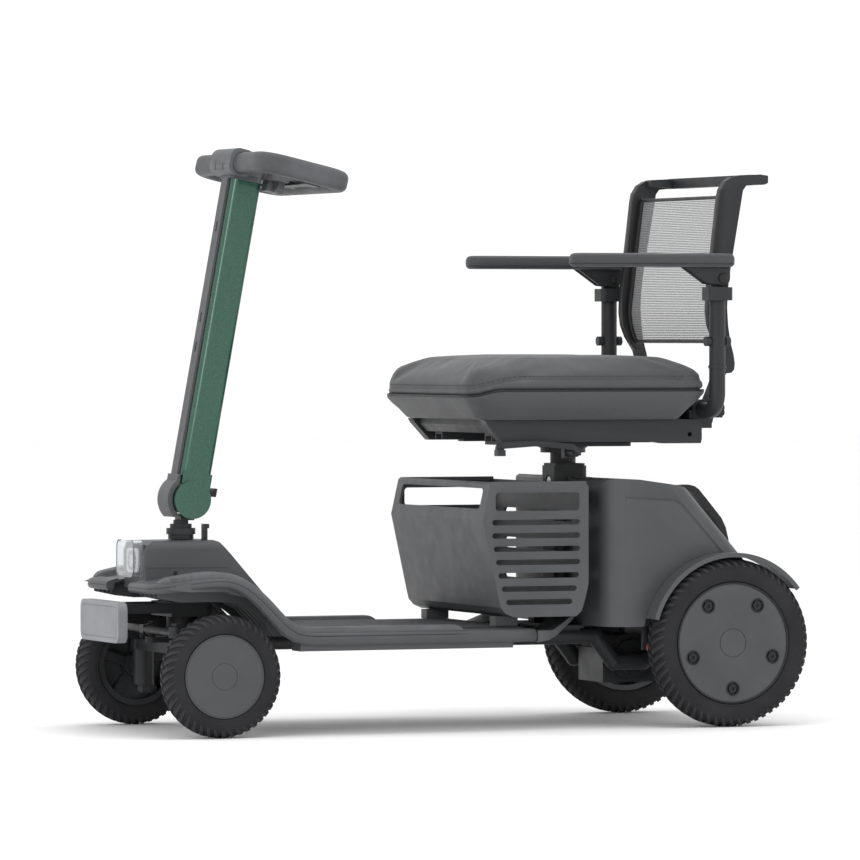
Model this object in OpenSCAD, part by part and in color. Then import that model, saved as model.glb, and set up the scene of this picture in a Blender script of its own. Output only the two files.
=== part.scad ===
// Four-wheeled mobility scooter with a folding-angle tiller, swivel seat and under-seat basket.
// Origin: middle of the footprint, on the floor. -X is the front, -Y the rider's left, +Z up.

/* [Overall] */
// Distance between the front and rear axles
wheelbase = 894; // [888:1:900]
// Rake of the tiller, leaning back from upright
tiller_rake = 10.4; // [9.5:0.1:11]
// Half of the distance between the front tyres' middle planes
front_half_track = 211; // [209:1:214]
// Half of the distance between the rear tyres' middle planes
rear_half_track = 223; // [222:1:226]

/* [Wheels] */
// Outer diameter of a front tyre
front_tyre_d = 200; // [196:1:202]
// Width of a front tyre
front_tyre_w = 50; // [46:1:52]
// Outer diameter of a front rim
front_rim_d = 136; // [130:1:140]
// Outer diameter of a rear tyre
rear_tyre_d = 280; // [276:1:282]
// Width of a rear tyre
rear_tyre_w = 53; // [48:1:54]
// Outer diameter of a rear rim
rear_rim_d = 202; // [196:1:208]
// Number of clamping bolts in a rear rim
rim_bolts = 5; // [3:1:6]
// Pitch circle diameter of the rear rim's bolts
rim_bolt_pcd = 152; // [140:1:160]

/* [Chassis] */
// Outer diameter of the frame tubes
frame_tube_d = 28; // [24:1:28]
// Distance of each frame tube from the middle
frame_tube_y = 85; // [80:1:88]
// Distance of a steering pivot from the middle
kingpin_y = 150; // [148:1:151]
// Length of the steering arms
steer_arm = 51; // [48:1:53]
// Half width of the foot deck over its side rails
deck_half_w = 225; // [222:1:227]

/* [Tiller] */
// Depth of the tiller column, front to back
column_d = 57; // [52:1:60]
// Width of the tiller column, side to side
column_w = 57; // [54:1:60]
// Half width of the handlebar loop
loop_half_w = 178; // [150:1:182]
// Height of the handlebar's section
bar_h = 34; // [26:1:36]
// Thickness of the handlebar's section
bar_t = 27; // [22:1:28]

/* [Seat] */
// Diameter of the seat post
seat_post_d = 43; // [40:0.5:43]
// Half width of the seat cushion
seat_half_w = 225; // [215:1:226]
// Depth of the seat, front to back
seat_depth = 415; // [400:1:416]
// Distance of each armrest post from the middle
arm_y = 226; // [222:1:230]
// Diameter of the armrest tube
arm_tube_d = 27; // [25:0.5:27]
// Length of an armrest pad
arm_pad_l = 293; // [260:1:300]
// Width of an armrest pad
arm_pad_w = 50; // [44:1:54]

/* [Basket] */
// Half width of the basket
basket_half_w = 205; // [195:1:208]
// Number of slots in each side of the basket
basket_slots = 7; // [4:1:7]
// Height of one slot
slot_h = 9; // [6:0.5:11]

/* [Hidden] */
$fn = 64;
fx = -450;                       // front axle
rx = fx + wheelbase;             // rear axle
front_r = front_tyre_d / 2;
rear_r = rear_tyre_d / 2;
kx = fx - 4;                     // steering pivots
sx = -442;                       // steering column axis
hx = -433; hz = 381;             // tiller hinge
px = 241;                        // seat post axis
ax = 423.5;                      // armrest posts
run = 0.05;                      // running clearance on a radius

charcoal = "#55565a";
dark = "#37383b";
satin = "#7a7d82";
green = "#45604f";
steel = "#8d9096";
rubber = "#2b2c2e";
seat_grey = "#626366";
mesh_grey = "#a5a6a7";

// ---- helpers ----
function arc(cx, cy, r, a0, a1, n = 6) =
  [for (i = [0:n]) let (a = a0 + (a1 - a0) * i / n) [cx + r * cos(a), cy + r * sin(a)]];

// Rounded rectangle, centred
module rrect(w, h, r) {
  square([w - 2 * r, h], center = true);
  square([w, h - 2 * r], center = true);
  for (i = [-1, 1], j = [-1, 1]) translate([i * (w / 2 - r), j * (h / 2 - r)]) circle(r);
}

// Slot with round ends, centred
module slot2(w, h) {
  square([w - h, h], center = true);
  for (i = [-1, 1]) translate([i * (w - h) / 2, 0]) circle(h / 2);
}

// An outline in X and Z, thick from y0 to y1
module wall(y0, y1) translate([0, y1, 0]) rotate([90, 0, 0]) linear_extrude(y1 - y0) children();

// An outline in Y and Z, thick from x0 to x1
module slab(x0, x1) translate([x0, 0, 0]) rotate([90, 0, 90]) linear_extrude(x1 - x0) children();

// Round bar along Y at (x, z)
module ybar(x, z, y0, y1, r) translate([x, y1, z]) rotate([90, 0, 0]) cylinder(r = r, h = y1 - y0);

// Round bar along X at (y, z)
module xbar(y, z, x0, x1, r) translate([x0, y, z]) rotate([0, 90, 0]) cylinder(r = r, h = x1 - x0);

// Round upright at (x, y)
module post(x, y, z0, z1, r) translate([x, y, z0]) cylinder(r = r, h = z1 - z0);

// Straight round bar between two points
module bar(a, b, r) {
  d = b - a;
  l = norm(d);
  translate(a) rotate([0, acos(d[2] / l), atan2(d[1], d[0])]) cylinder(r = r, h = l);
}

// Round tube along a list of points, with ball corners
module tube_path(p, r) {
  for (i = [0:len(p) - 2]) bar(p[i], p[i + 1], r);
  for (i = [1:len(p) - 2]) translate(p[i]) sphere(r + 0.7);
}

module box(x0, x1, y0, y1, z0, z1) translate([x0, y0, z0]) cube([x1 - x0, y1 - y0, z1 - z0]);

// The left side as drawn, or its mirror image on the right
module on_side(s) if (s < 0) children(); else mirror([0, 1, 0]) children();

module both() { children(); mirror([0, 1, 0]) children(); }

// ---- chassis ----
module frame_tube() {
  r = frame_tube_d / 2;
  difference() {
    tube_path([[-397.9, -frame_tube_y, 149], [262, -frame_tube_y, 149],
      [298, -frame_tube_y, 104], [350, -frame_tube_y, 104], [404, -frame_tube_y, 126]], r);
    box(-460, -397.9, -140, -40, 100, 200);
    box(408, 440, -140, -40, 90, 200);
  }
  // pad welded under the seat tower's plate
  box(195, 232, -frame_tube_y - 10, -frame_tube_y + 10, 150, 163.1);
}
module frame_left() color(dark) frame_tube();
module frame_right() color(dark) mirror([0, 1, 0]) frame_tube();

module front_axle() color(dark) difference() {
  union() {
    // beam out to the steering pivots
    box(-470, -438, -kingpin_y, kingpin_y, 128, 146);
    both() post(kx, -kingpin_y, 128, 146, 18);
    // rear crossbar that takes the frame tubes
    box(-440, -398, -30, 30, 128, 146);
    box(-411, -398, -105, 105, 128, 168);
    // upright and head tube
    box(-416, -398, -28, 28, 146, 164);
    box(-423, -398, -28, 28, 162, 252);
    box(-450, -410, -12, 12, 182, 250);
    post(sx, 0, 160, 262, 24);
    box(-476, -415, -50, 50, 190, 214);
    // arms forward to the bumper
    both() box(-565, -470, -50, -36, 196, 212);
    both() box(-568, -560, -62, -30, 180, 214);
  }
  post(sx, 0, 100, 300, 17 + run);
  both() post(kx, -kingpin_y, 100, 170, 8 + run);
}

module deck_pan() color(dark) {
  box(-317, 110, -172, 172, 163.2, 166);
  // stiffening ribs between the tubes
  for (x = [-290, -180, -70, 40]) box(x, x + 4, -68, 68, 140, 163.2);
  // kick-up on each side below the basket, drawn in towards the rear
  both() intersection() {
    wall(-204, -104) polygon([[40, 145], [110, 145], [133, 148], [150, 155], [172, 169], [190, 181], [206, 198], [216, 214], [218, 222],
      [207, 222], [203, 210], [193.5, 190], [176, 181], [142, 164], [40, 164]]);
    translate([0, 0, 130]) linear_extrude(100) polygon([[30, -172], [110.3, -172], [110.3, -203], [128, -198], [150, -188],
      [180, -170], [205, -152], [222, -140], [222, -104], [30, -104]]);
  }
}

module deck_mat() color("#46474a") {
  box(-317, 96, -168, 168, 166.2, 169.5);
  for (i = [-9:9]) box(i == 0 ? -266 : -310, 90, i * 17 - 5, i * 17 + 5, 169.4, 171);
}

// Height of the fender's and rail's top edge, from the front to the rear
rail_top = [[-556, 240], [-554, 246], [-546, 248.5], [-532, 249], [-503, 254], [-480, 257.5], [-458, 259],
  [-444, 259], [-429, 257], [-405, 247], [-375, 224], [-343, 190], [-331, 179.5], [-319, 172.5],
  [-307, 169.5], [-295, 168.2], [-262, 168], [112, 168]];
// The lip's lower edge, back to the front again
rail_lip = [[112, 150], [108, 147], [-290, 147], [-308, 148.5], [-318, 150], [-329, 153.5], [-349, 168],
  [-379, 197], [-409, 220], [-425, 230], [-439, 236], [-462, 238.5], [-506, 235], [-550, 229], [-555, 233]];
module rail_plan(inset) polygon(concat(
  [[-556 + inset, -53.5], [-556 + inset, -150]],
  [[-552 + inset, -166], [-545 + inset, -177 + inset], [-530, -191 + inset], [-510, -203 + inset],
   [-485, -213 + inset], [-460, -219 + inset], [-430, -223 + inset], [-400, -deck_half_w + inset]],
  arc(70, -deck_half_w + 40, 40 - inset, 270, 360, 8), [[110 - inset, -172.3], [-318, -172.3], [-318, -53.5]]));

module side_rail() {
  // fender sheet and rail top, bent to the wavy edge
  intersection() {
    wall(-230, -50) polygon(concat(rail_top,
      [for (i = [len(rail_top) - 1:-1:0]) rail_top[i] - [i < 3 ? -5 : 2, 6]]));
    translate([0, 0, 100]) linear_extrude(200) rail_plan(0);
  }
  // deep outer lip
  intersection() {
    wall(-230, -50) polygon(concat(rail_top, rail_lip));
    translate([0, 0, 100]) linear_extrude(200) difference() { rail_plan(0); rail_plan_inner(); }
  }
  // raised trim along the top
  intersection() {
    wall(-212, -182) polygon(concat([for (p = rail_top) if (p[0] > -545 && p[0] < 0) p + [0, 8]],
      [[-34, 176], [-26, 174], [-22, 166]],
      [for (i = [len(rail_top) - 2:-1:3]) rail_top[i] - [0, 2]]));
    translate([0, 0, 100]) linear_extrude(200) rail_plan(12);
  }
  // rail block along the deck
  box(-312, 62, -212, -172.3, 137, 165);
  box(-300, 50, -216, -200, 137, 150);
  // fins under the fender
  for (y = [-196, -150, -104]) wall(y, y + 4) polygon([[-536, 234], [-536, 245], [-503, 249], [-480, 252.5],
    [-458, 254], [-430, 253], [-406, 243], [-395, 233], [-410, 232], [-440, 238], [-500, 238]]);
}
module rail_plan_inner() polygon([[-544, -40], [-544, -152], [-534, -172], [-520, -184], [-500, -195],
  [-478, -203], [-455, -209], [-430, -212.5], [-400, -213.5], [-318, -213.5], [-310, -213.5], [-310, -60], [-318, -40]]);
module side_rail_left() color(charcoal) side_rail();
module side_rail_right() color(charcoal) mirror([0, 1, 0]) side_rail();

module front_shroud() color(charcoal) difference() {
  union() {
    difference() {
      intersection() {
        wall(-52, 52) polygon([[-522, 236], [-522, 298], [-518, 308], [-508, 314], [-400, 315], [-392, 312],
          [-370, 288], [-335, 248], [-276, 181], [-268, 172.5], [-268, 171.2], [-316, 171.2], [-402, 236]]);
        slab(-530, -260) { translate([0, 265]) rrect(104, 100, 14); translate([0, 200]) square([104, 120], center = true); }
      }
      intersection() {
        wall(-48.5, 48.5) polygon([[-518.5, 170], [-518.5, 297], [-515, 306], [-507, 311], [-401.5, 311.5],
          [-394.5, 309], [-372.5, 285.5], [-337.5, 245.5], [-300, 203], [-316, 160], [-402, 160]]);
        slab(-530, -260) { translate([0, 261.5]) rrect(97, 100, 11); translate([0, 200]) square([97, 120], center = true); }
      }
    }
    // step line round the hood
    both() wall(-53.2, -50) polygon([[-520, 271], [-378, 271], [-376, 274], [-520, 274]]);
  }
  post(sx, 0, 290, 330, 23);
  // window for the headlight
  box(-530, -510, -39, 39, 258, 306);
  // slot for the release tab
  box(-417, -399, -31, -9, 300, 330);
}

module headlight_body() color("#e8e9ea") {
  // white square reflector with a ring of lamps round it
  difference() {
    slab(-521.8, -500) translate([0, 282]) rrect(76, 46, 8);
    slab(-522, -508) translate([0, 282]) rrect(60, 34, 6);
  }
  slab(-519, -507) translate([0, 282]) rrect(30, 20, 4);
  for (i = [0:9]) let (a = 18 + i * 36)
    xbar(23.5 * cos(a), 282 + 13.5 * sin(a), -513, -507, 2.6);
}

module headlight_lens() color("#dfe8ee", 0.5) difference() {
  slab(-540, -522.2) translate([0, 285.5]) rrect(84, 61, 14);
  slab(-537, -522) translate([0, 285.5]) rrect(78, 55, 11);
}

module front_bumper() color(satin) {
  difference() {
    slab(-584, -568.2) translate([0, 183.5]) rrect(190, 67, 15);
    slab(-585, -582.8) translate([0, 183.5]) rrect(174, 51, 8);
    slab(-577, -568) translate([0, 183.5]) rrect(182, 59, 11);
  }
  slab(-584, -582) translate([0, 183.5]) rrect(173, 50, 7.5);
  both() box(-577.1, -568.2, -60, -34, 182, 210);
  for (z = [168, 199]) box(-577.1, -573, -90, 90, z - 1.5, z + 1.5);
}

// Side outline of the basket
basket_side = [[28, 410], [24, 406], [11, 348], [40, 215], [43, 203], [52, 193], [66, 187], [178, 187],
  [188, 196], [194, 215], [200, 240], [200, 402], [192, 410]];
module basket() color(charcoal) {
  h = basket_half_w;
  difference() {
    wall(-h, h) polygon(basket_side);
    // inside
    wall(-h + 4, h - 4) polygon([[28, 420], [27.6, 404], [15, 348], [43.6, 216], [46.5, 205],
      [54, 196], [67, 191], [176, 191], [185, 198], [190.5, 217], [196, 241], [196, 420]]);
    // long window across the front, over the top rail
    translate([0, 0, 382]) rotate([0, -90, 0]) translate([0, 0, -32]) linear_extrude(36) rrect(34, 2 * h - 50, 8);
    // window in each side, high up
    both() wall(-h - 1, -h + 5) translate([109, 377]) rrect(150, 30, 6);
    // rows of slots
    both() for (i = [0:basket_slots - 1])
      let (z = 343 - i * 21.9, x0 = 28 + [0, 0, 3, 7, 11, 17, 25][i], x1 = 185 - [0, 0, 0, 0, 2, 6, 14][i])
        wall(-h - 1, -h + 5) translate([(x0 + x1) / 2, z]) slot2(x1 - x0, slot_h);
    // windows in the rear wall
    for (z = [250, 300, 350]) slab(190, 201) translate([0, z]) slot2(300, 18);
  }
  // rolled rim
  both() wall(-h, -h + 8) polygon([[26, 404], [196, 404], [196, 410], [30, 410]]);
  // feet on the deck
  both() box(50, 90, -165, -140, 171.2, 187.1);
}

module seat_tower() color(dark) difference() {
  union() {
    translate([px + 2.5, 0, 163.2]) linear_extrude(432 - 163.2) rrect(59, 70, 12);
    translate([px + 2.5, 0, 432]) linear_extrude(4) rrect(54, 65, 10);
    box(190, 233, -110, 110, 163.2, 167.5);
    both() box(202, 230, -58, -34, 167.4, 240);
  }
  post(px, 0, 163, 440, seat_post_d / 2 + run);
  // recess of the locking bolt
  xbar(0, 405, 205, 218, 11);
}

// Side outline of the rear cover
cover_side = [[231, 168], [231, 402], [236, 410], [244, 414], [288, 412], [352, 403], [378, 398], [387, 392],
  [471, 297], [514, 248], [529, 226], [535, 200], [535, 178], [525, 168]];
module cover_plan(d) {
  translate([391, 0]) rrect(320 - 2 * d, 428 - 2 * d, 40 - d);
  translate([461, 0]) rrect(180 - 2 * d, 428 - 2 * d, 24 - d);
}
// Rounds the two long edges beside the sloping back, to radius r about one shared line
module slope_edge(r) both() multmatrix([[0, 0.75, 0.661, 387], [1, 0, 0, -214], [0, 0.661, -0.75, 392], [0, 0, 0, 1]])
  translate([0, 0, -80]) linear_extrude(400) difference() {
    translate([-6, -35]) square([41, 41]);
    translate([35, -35]) circle(r, $fn = 96);
  }

module rear_cover() color(charcoal) difference() {
  union() {
    difference() {
      intersection() {
        wall(-214, 214) polygon(cover_side);
        translate([0, 0, 160]) linear_extrude(260) cover_plan(0);
      }
      // room inside, open below behind the battery floor
      difference() {
        intersection() {
          wall(-210.5, 210.5) polygon([[234.5, 171.5], [234.5, 401], [239, 407], [245.5, 410.5], [288, 408.5], [351, 399.6],
            [376, 394.6], [383.5, 389.5], [467.5, 294.6], [510.5, 246], [525.5, 225], [531.5, 200], [531.5, 160], [387, 160], [387, 171.5]]);
          translate([0, 0, 150]) linear_extrude(270) cover_plan(3.5);
        }
        both() ybar(rx, 140, -220, -189.5, 153.7);
        slope_edge(32.5);
      }
    }
    // channel wall round the seat tower
    box(234.1, 277, -39.5, 39.5, 168, 413);
  }
  slope_edge(36);
  box(228, 274, -36.3, 36.3, 160, 420);
  // sleeve clearance through the top
  box(228, 245, -230, 230, 412.5, 420);
  // wheel arches
  both() ybar(rx, 140, -220, -193, 150.2);
  // belt groove along each side
  both() wall(-215, -213.2) polygon([[226, 386], [352, 379], [366, 371], [452, 276], [449, 273], [363, 368], [350, 376], [226, 383]]);
}

module carry_handle() color(dark) difference() {
  wall(-11, 11) polygon([[384, 402], [404, 401], [429, 399], [447, 397], [468, 398], [479, 395.5], [487, 390], [513, 360],
    [529, 341], [537, 325], [542, 305], [546, 281], [547, 255], [544, 249], [537, 246], [506, 246], [506, 258], [529, 259], [533, 266], [532, 300], [528, 318], [520, 332],
    [504, 352], [479, 381], [473, 386], [463, 387.5], [450, 386], [384, 386]]);
  wall(-50, 50) polygon([[370, 405], [377, 398.6], [387.4, 392.3], [471.4, 297.3], [514.4, 248.3], [530, 225.3], [370, 225], [370, 398]]);
}

module battery_pack() color("#2f3033") {
  translate([333, 0, 171.7]) linear_extrude(150) rrect(96, 196, 10);
  // carrying grip
  box(326, 340, -60, -50, 321.7, 345); box(326, 340, 50, 60, 321.7, 345); box(326, 340, -60, 60, 337, 349);
}

module rear_fender() {
  // arched sheet over the tyre, from the front tip over to the rear
  intersection() {
    difference() { ybar(rx, 140, -249, -193.3, 150); ybar(rx, 140, -250, -192, 146.4); }
    wall(-250, -190) polygon([[rx, 140], [rx - 240, 210], [rx - 240, 320], [rx + 240, 320], [rx + 240, 140 + 240 * tan(37)]]);
  }
  // turned-down outer lip
  intersection() {
    difference() { ybar(rx, 140, -250.5, -247.5, 150); ybar(rx, 140, -251, -247, 142.5); }
    wall(-252, -130) polygon([[rx, 140], [rx - 240, 210], [rx - 240, 320], [rx + 240, 320], [rx + 240, 140 + 240 * tan(37)]]);
  }
}
module rear_fender_left() color(charcoal) rear_fender();
module rear_fender_right() color(charcoal) mirror([0, 1, 0]) rear_fender();

module transaxle() color(dark) difference() {
  union() {
    ybar(rx, 140, -168, 168, 22);
    ybar(rx, 140, -36, 36, 26 + 24);
    // geared motor in front of the axle
    box(292, 396, -52, 52, 68, 125);
    ybar(337, 112, -60, 60, 38);
    box(370, 420, -34, 34, 90, 160);
    // brackets to the frame tubes
    both() box(404, 444, -frame_tube_y - 10, -frame_tube_y + 10, 112, 150);
    // brake housing
    ybar(337, 112, -66, -59, 28);
  }
  both() ybar(rx, 140, -170, -100, 12 + run);
  both() translate([0, -frame_tube_y, 0]) rotate([0, 0, 0]) box(390, 408.2, -15, 15, 100, 152);
}

module reflectors() both() {
  color(dark) { box(306, 312, -190, -180, 142, 167.8); box(306, 320, -186, -180, 128, 146); }
  color("#c2404a") ybar(320, 133, -192, -186, 9);
}

// ---- steering ----
module steering_stem() color(dark) {
  post(sx, 0, 146.4, 157, 20);
  difference() {
    box(sx - steer_arm, sx, -10, 10, 146.4, 156.4);
    box(sx - steer_arm - 20, sx - steer_arm, -20, 20, 140, 160);
  }
  post(sx - steer_arm, 0, 146.4, 156.4, 10);
  post(sx - steer_arm, 0, 150, 181, 5);
  post(sx, 0, 150, 336, 17);
  // rubber collar stack
  post(sx, 0, 316, 324, 21);
  post(sx, 0, 323.9, 334, 24);
  post(sx, 0, 333.9, 341, 18);
  post(sx, 0, 340.9, 347.5, 12.5);
  difference() {
    union() {
      box(-447, -424, -15, 15, 347, 368);
      ybar(hx, hz, -17.5, 17.5, 30);
    }
    ybar(hx, hz, -20, 20, 10 + run);
  }
}

// Tiller parts are drawn along the column, from the hinge upwards
module raked() translate([hx, 0, hz]) rotate([0, tiller_rake, 0]) children();

module tiller_column() color(green) raked() {
  d = column_d / 2; w = column_w / 2;
  difference() {
    union() {
      // tube, open inside, with round rear corners
      difference() {
        translate([0, 0, 34]) linear_extrude(499) {
          translate([2.25, 0]) rrect(2 * d - 4.5, 2 * w, 11);
        }
        translate([0, 0, 45]) linear_extrude(520) translate([2, 0]) rrect(2 * d - 14, 2 * w - 8, 6);
      }
      // cheeks down each side of the hinge
      for (j = [-1, 1]) translate([0, j * (w - 4.75), 0]) rotate([90, 0, 0]) linear_extrude(9.5, center = true) {
        circle(31);
        translate([-d + 6.2, 0]) square([2 * d - 6.4, 46]);
      }
      // round side caps
      for (j = [-1, 1]) translate([0, j * (w + 3), 0]) rotate([90, 0, 0]) cylinder(r = 31.5, h = 6.2, center = true);
      rotate([90, 0, 0]) cylinder(r = 10, h = column_w, center = true);
    }
    // groove along each side near the rear edge
    for (j = [-1, 1]) translate([d - 8.5, j * w, 60]) box(-0.8, 0.8, -0.8, 0.8, 0, 460);
  }
}

module tiller_cover() color(charcoal) raked() {
  d = column_d / 2; w = column_w / 2;
  difference() {
    translate([0, 0, 36]) linear_extrude(497) {
      translate([-d, -14]) square([4.3, 28]);
    }
    for (z = [250, 300, 452]) translate([-d - 1, 0, z]) rotate([0, 90, 0]) linear_extrude(3) slot2(18, 5);
  }
  // nose that wraps round the front of the hinge
  rotate([90, 0, 0]) linear_extrude(2 * w - 6, center = true) difference() {
    circle(41);
    circle(32.5);
    polygon([[0, 0], [-16, 60], [60, 60], [60, -60], [-44, -60]]);
    translate([-d + 4, 0]) square([90, 90]);
  }
  translate([-d - 1.5, -w + 4, 24]) cube([5, 2 * w - 8, 14]);
}

// The handlebar lies in a plane that falls to the rear
loop_fall = 13.2;
module loop_frame() translate([98 - 450, 0, 934]) rotate([0, loop_fall, 0]) children();
module pod_frame() translate([112 - 450, 0, 934]) rotate([0, loop_fall, 0]) children();
loop_len = 141;
loop_r = 34;

module handle_hub() color(charcoal) {
  difference() {
    union() {
      // saddle over the front bar
      loop_frame() rotate([90, 0, 0]) linear_extrude(94, center = true) {
        translate([0, 1]) rrect(bar_t + 16, bar_h + 11, 15);
        translate([17, -4]) rrect(44, 24, 8);
      }
      // socket on the column's top
      raked() translate([0, 0, 533.2]) linear_extrude(16) rrect(column_d, column_w, 10);
      raked() translate([0, 0, 520]) linear_extrude(14) rrect(column_d - 24, column_w - 16, 6);
    }
    loop_frame() rotate([90, 0, 0]) linear_extrude(100, center = true) rrect(bar_t + 0.6, bar_h + 0.6, 11);
    loop_frame() for (j = [-1, 1]) translate([-24, j * 18, -10]) rotate([0, 90, 0]) linear_extrude(6) slot2(9, 3.5);
  }
}

module bar_section() rrect(bar_t, bar_h, 11.7);
module handle_loop() color(charcoal) loop_frame() {
  y = loop_half_w - bar_t / 2;
  s = y - loop_r;
  // front and rear bars
  for (x = [0, loop_len]) translate([x, 0, 0]) rotate([90, 0, 0]) linear_extrude(2 * s, center = true) bar_section();
  // side bars
  for (j = [-1, 1]) translate([loop_r, j * y, 0]) rotate([90, 0, 90]) linear_extrude(loop_len - 2 * loop_r) bar_section();
  // corners
  for (j = [-1, 1], k = [0, 1]) translate([k == 0 ? loop_r : loop_len - loop_r, j * s, 0])
    rotate([0, 0, j > 0 ? (k == 0 ? 90 : 0) : (k == 0 ? 180 : 270)])
      rotate_extrude(angle = 90) translate([loop_r, 0]) bar_section();
}

module console() color(charcoal) pod_frame() difference() {
  union() {
    translate([76, 0, -17]) linear_extrude(22) rrect(66, 116, 14);
    translate([72, 0, 4.9]) linear_extrude(6) rrect(56, 104, 12);
    box(40.5, 60, -24, 24, -16, 4);
    box(100, loop_len - 14.5 - bar_t / 2, -30, 30, -10, 6);
    // key and plug housing hanging below
    box(48, 74, -22, 6, -34, -16.9);
    translate([64, -30, -30]) rotate([90, 0, 0]) cylinder(r = 7, h = 12);
    box(58, 70, -42, -21, -30, -16.9);
  }
  // recesses for the dial and the button
  translate([86, 0, 4]) cylinder(r = 17.5, h = 10);
  translate([60, -38, 0.6]) cylinder(r = 7, h = 12);
  // slot for the drive lever's boss
  translate([88, 0, -18]) cylinder(r = 16.3, h = 8);
  box(70, 112, -70, 70, -18, -11.8);
}

module speed_dial() color(dark) pod_frame() {
  difference() {
    translate([86, 0, 4.3]) cylinder(r = 17, h = 14);
    for (a = [0:30:330]) translate([86, 0, 8]) rotate(a) translate([17.6, 0, 0]) cylinder(r = 1.5, h = 12, $fn = 24);
  }
  translate([86, 0, 18.2]) rotate(90) translate([6, 0, 0]) linear_extrude(1) square([12, 2.4], center = true);
}

module horn_button() color("#b9b24a") pod_frame() translate([60, -38, 3.3]) cylinder(r = 6.5, h = 10.5);

module drive_lever() color(dark) pod_frame() difference() {
  union() {
    translate([88, 0, -17.5]) cylinder(r = 16, h = 5.4);
    box(80, 96, -108, 108, -17.5, -12.1);
    both() translate([90, -104, -17.5]) linear_extrude(10) rrect(26, 34, 7);
  }
  both() translate([104, -104, -6]) rotate([90, 0, 0]) cylinder(r = 9, h = 50, center = true);
}

module tilt_latch() color(dark) raked() {
  d = column_d / 2;
  translate([d + 5, 0, 17]) rotate([90, 0, 0]) cylinder(r = 4.5, h = 30, center = true);
  box(d + 3, d + 17, -13, 13, 13, 17.5);
  box(d + 14, d + 18, -13, 13, 12, 26);
}

module base_latch() color(dark) {
  ybar(-408, 306, -27, -13, 4.5);
  box(-411, -405, -27, -13, 306, 337);
  box(-411, -402, -27, -13, 334, 341);
}

// ---- steering linkage ----
module knuckle() {
  difference() {
    union() {
      post(kx, -kingpin_y, 70, 127.8, 17);
      post(kx, -kingpin_y, 56, 157, 8);
      translate([kx, -kingpin_y, 58]) cylinder(r = 11, h = 12.1, $fn = 6);
      // steering arm
      post(kx, -kingpin_y, 146.4, 156.4, 14);
      box(kx - steer_arm, kx, -kingpin_y - 9, -kingpin_y + 9, 146.4, 156.4);
      post(kx - steer_arm, -kingpin_y, 146.4, 156.4, 10);
      // block and stub axle
      box(-464, -436, -184, -156, 84, 116);
      ybar(fx, 100, -189.6, -183, 15);
      ybar(fx, 100, -front_half_track - 15, -160, 8);
      translate([fx, -front_half_track - 10.3, 100]) rotate([90, 0, 0]) cylinder(r = 11, h = 5, $fn = 6);
    }
    box(-470, -430, -178, -166, 96, 104);
    translate([kx - steer_arm - 25, 0, 0]) box(0, 14, -170, -130, 140, 160);
  }
  post(kx - steer_arm, -kingpin_y, 150, 181, 5);
  post(kx - steer_arm, -kingpin_y, 180.4, 183.5, 6.5);
}
module knuckle_left() color(dark) knuckle();
module knuckle_right() color(dark) mirror([0, 1, 0]) knuckle();

module tie_rod() color(steel) {
  tx = kx - steer_arm;
  cx = sx - steer_arm;
  difference() {
    union() {
      ybar(tx, 169, -kingpin_y, kingpin_y, 6);
      both() post(tx, -kingpin_y, 160, 178, 11);
      box(tx - 6, cx, -9, 9, 163, 176);
      post(cx, 0, 160, 177, 9);
    }
    post(tx, -kingpin_y, 150, 190, 5 + run);
    post(tx, kingpin_y, 150, 190, 5.5);
    post(cx, 0, 150, 190, 5.5);
  }
}

// ---- wheels, drawn flat with the outer face up, then stood on their axles ----
module at_front(s) on_side(s) translate([fx, -front_half_track, front_r]) rotate([90, 0, 0]) children();
module at_rear(s) on_side(s) translate([rx, -rear_half_track, rear_r]) rotate([90, 0, 0]) children();

module tyre(r, ri, w) rotate_extrude($fn = 96) polygon(concat(
  [[ri + 0.1, -w / 2 + 7], [ri + 0.1, w / 2 - 7], [ri + 4, w / 2 - 2], [ri + 9, w / 2]],
  arc(r - 15, w / 2 - 14, 14, 85, 20, 4), [[r - 0.5, w / 2 - 17], [r, w / 2 - 20], [r, -w / 2 + 20], [r - 0.5, -w / 2 + 17]],
  arc(r - 15, -w / 2 + 14, 14, -20, -85, 4), [[ri + 9, -w / 2], [ri + 4, -w / 2 + 2]]));

module front_rim() difference() {
  union() {
    rotate_extrude() polygon([[58, -16], [front_rim_d / 2 - 0.1, -17], [front_rim_d / 2 - 0.1, 16.6], [60, 16.6], [60, 4], [58, 0]]);
    translate([0, 0, -21]) cylinder(r = 21, h = 31);
    for (i = [0:4]) rotate(i * 72 + 18) translate([17, -8, -8]) cube([46, 16, 14]);
  }
  translate([0, 0, -30]) cylinder(r = 8 + run, h = 60);
}
module front_cap() {
  difference() {
    translate([0, 0, 16.8]) cylinder(r = front_rim_d / 2 - 0.5, h = 4.2);
    translate([0, 0, 20.4]) difference() { cylinder(r = 22, h = 2); cylinder(r = 20.6, h = 2); }
    translate([0, 0, 20.4]) difference() { cylinder(r = 66, h = 2); cylinder(r = 64.8, h = 2); }
  }
}
module rear_rim() difference() {
  union() {
    rotate_extrude() polygon([[92, -21], [rear_rim_d / 2 - 0.1, -22], [rear_rim_d / 2 - 0.1, 22], [92, 22]]);
    translate([0, 0, 15]) cylinder(r = 93, h = 7);
    translate([0, 0, -40]) cylinder(r = 24, h = 56);
    translate([0, 0, -85]) cylinder(r = 12, h = 50);
    for (i = [0:4]) rotate(i * 72) translate([20, -5, -10]) cube([74, 10, 26]);
  }
  // wells for the bolts
  for (i = [0:rim_bolts - 1]) rotate(i * 360 / rim_bolts - 90) translate([rim_bolt_pcd / 2, 0, 16]) cylinder(r = 11, h = 10);
  for (i = [0:rim_bolts - 1]) rotate(i * 360 / rim_bolts - 90) translate([rim_bolt_pcd / 2, 0, 10]) cylinder(r = 4 + run, h = 10);
  translate([0, 0, 21]) difference() { cylinder(r = 24, h = 2); cylinder(r = 22.8, h = 2); }
}
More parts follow.
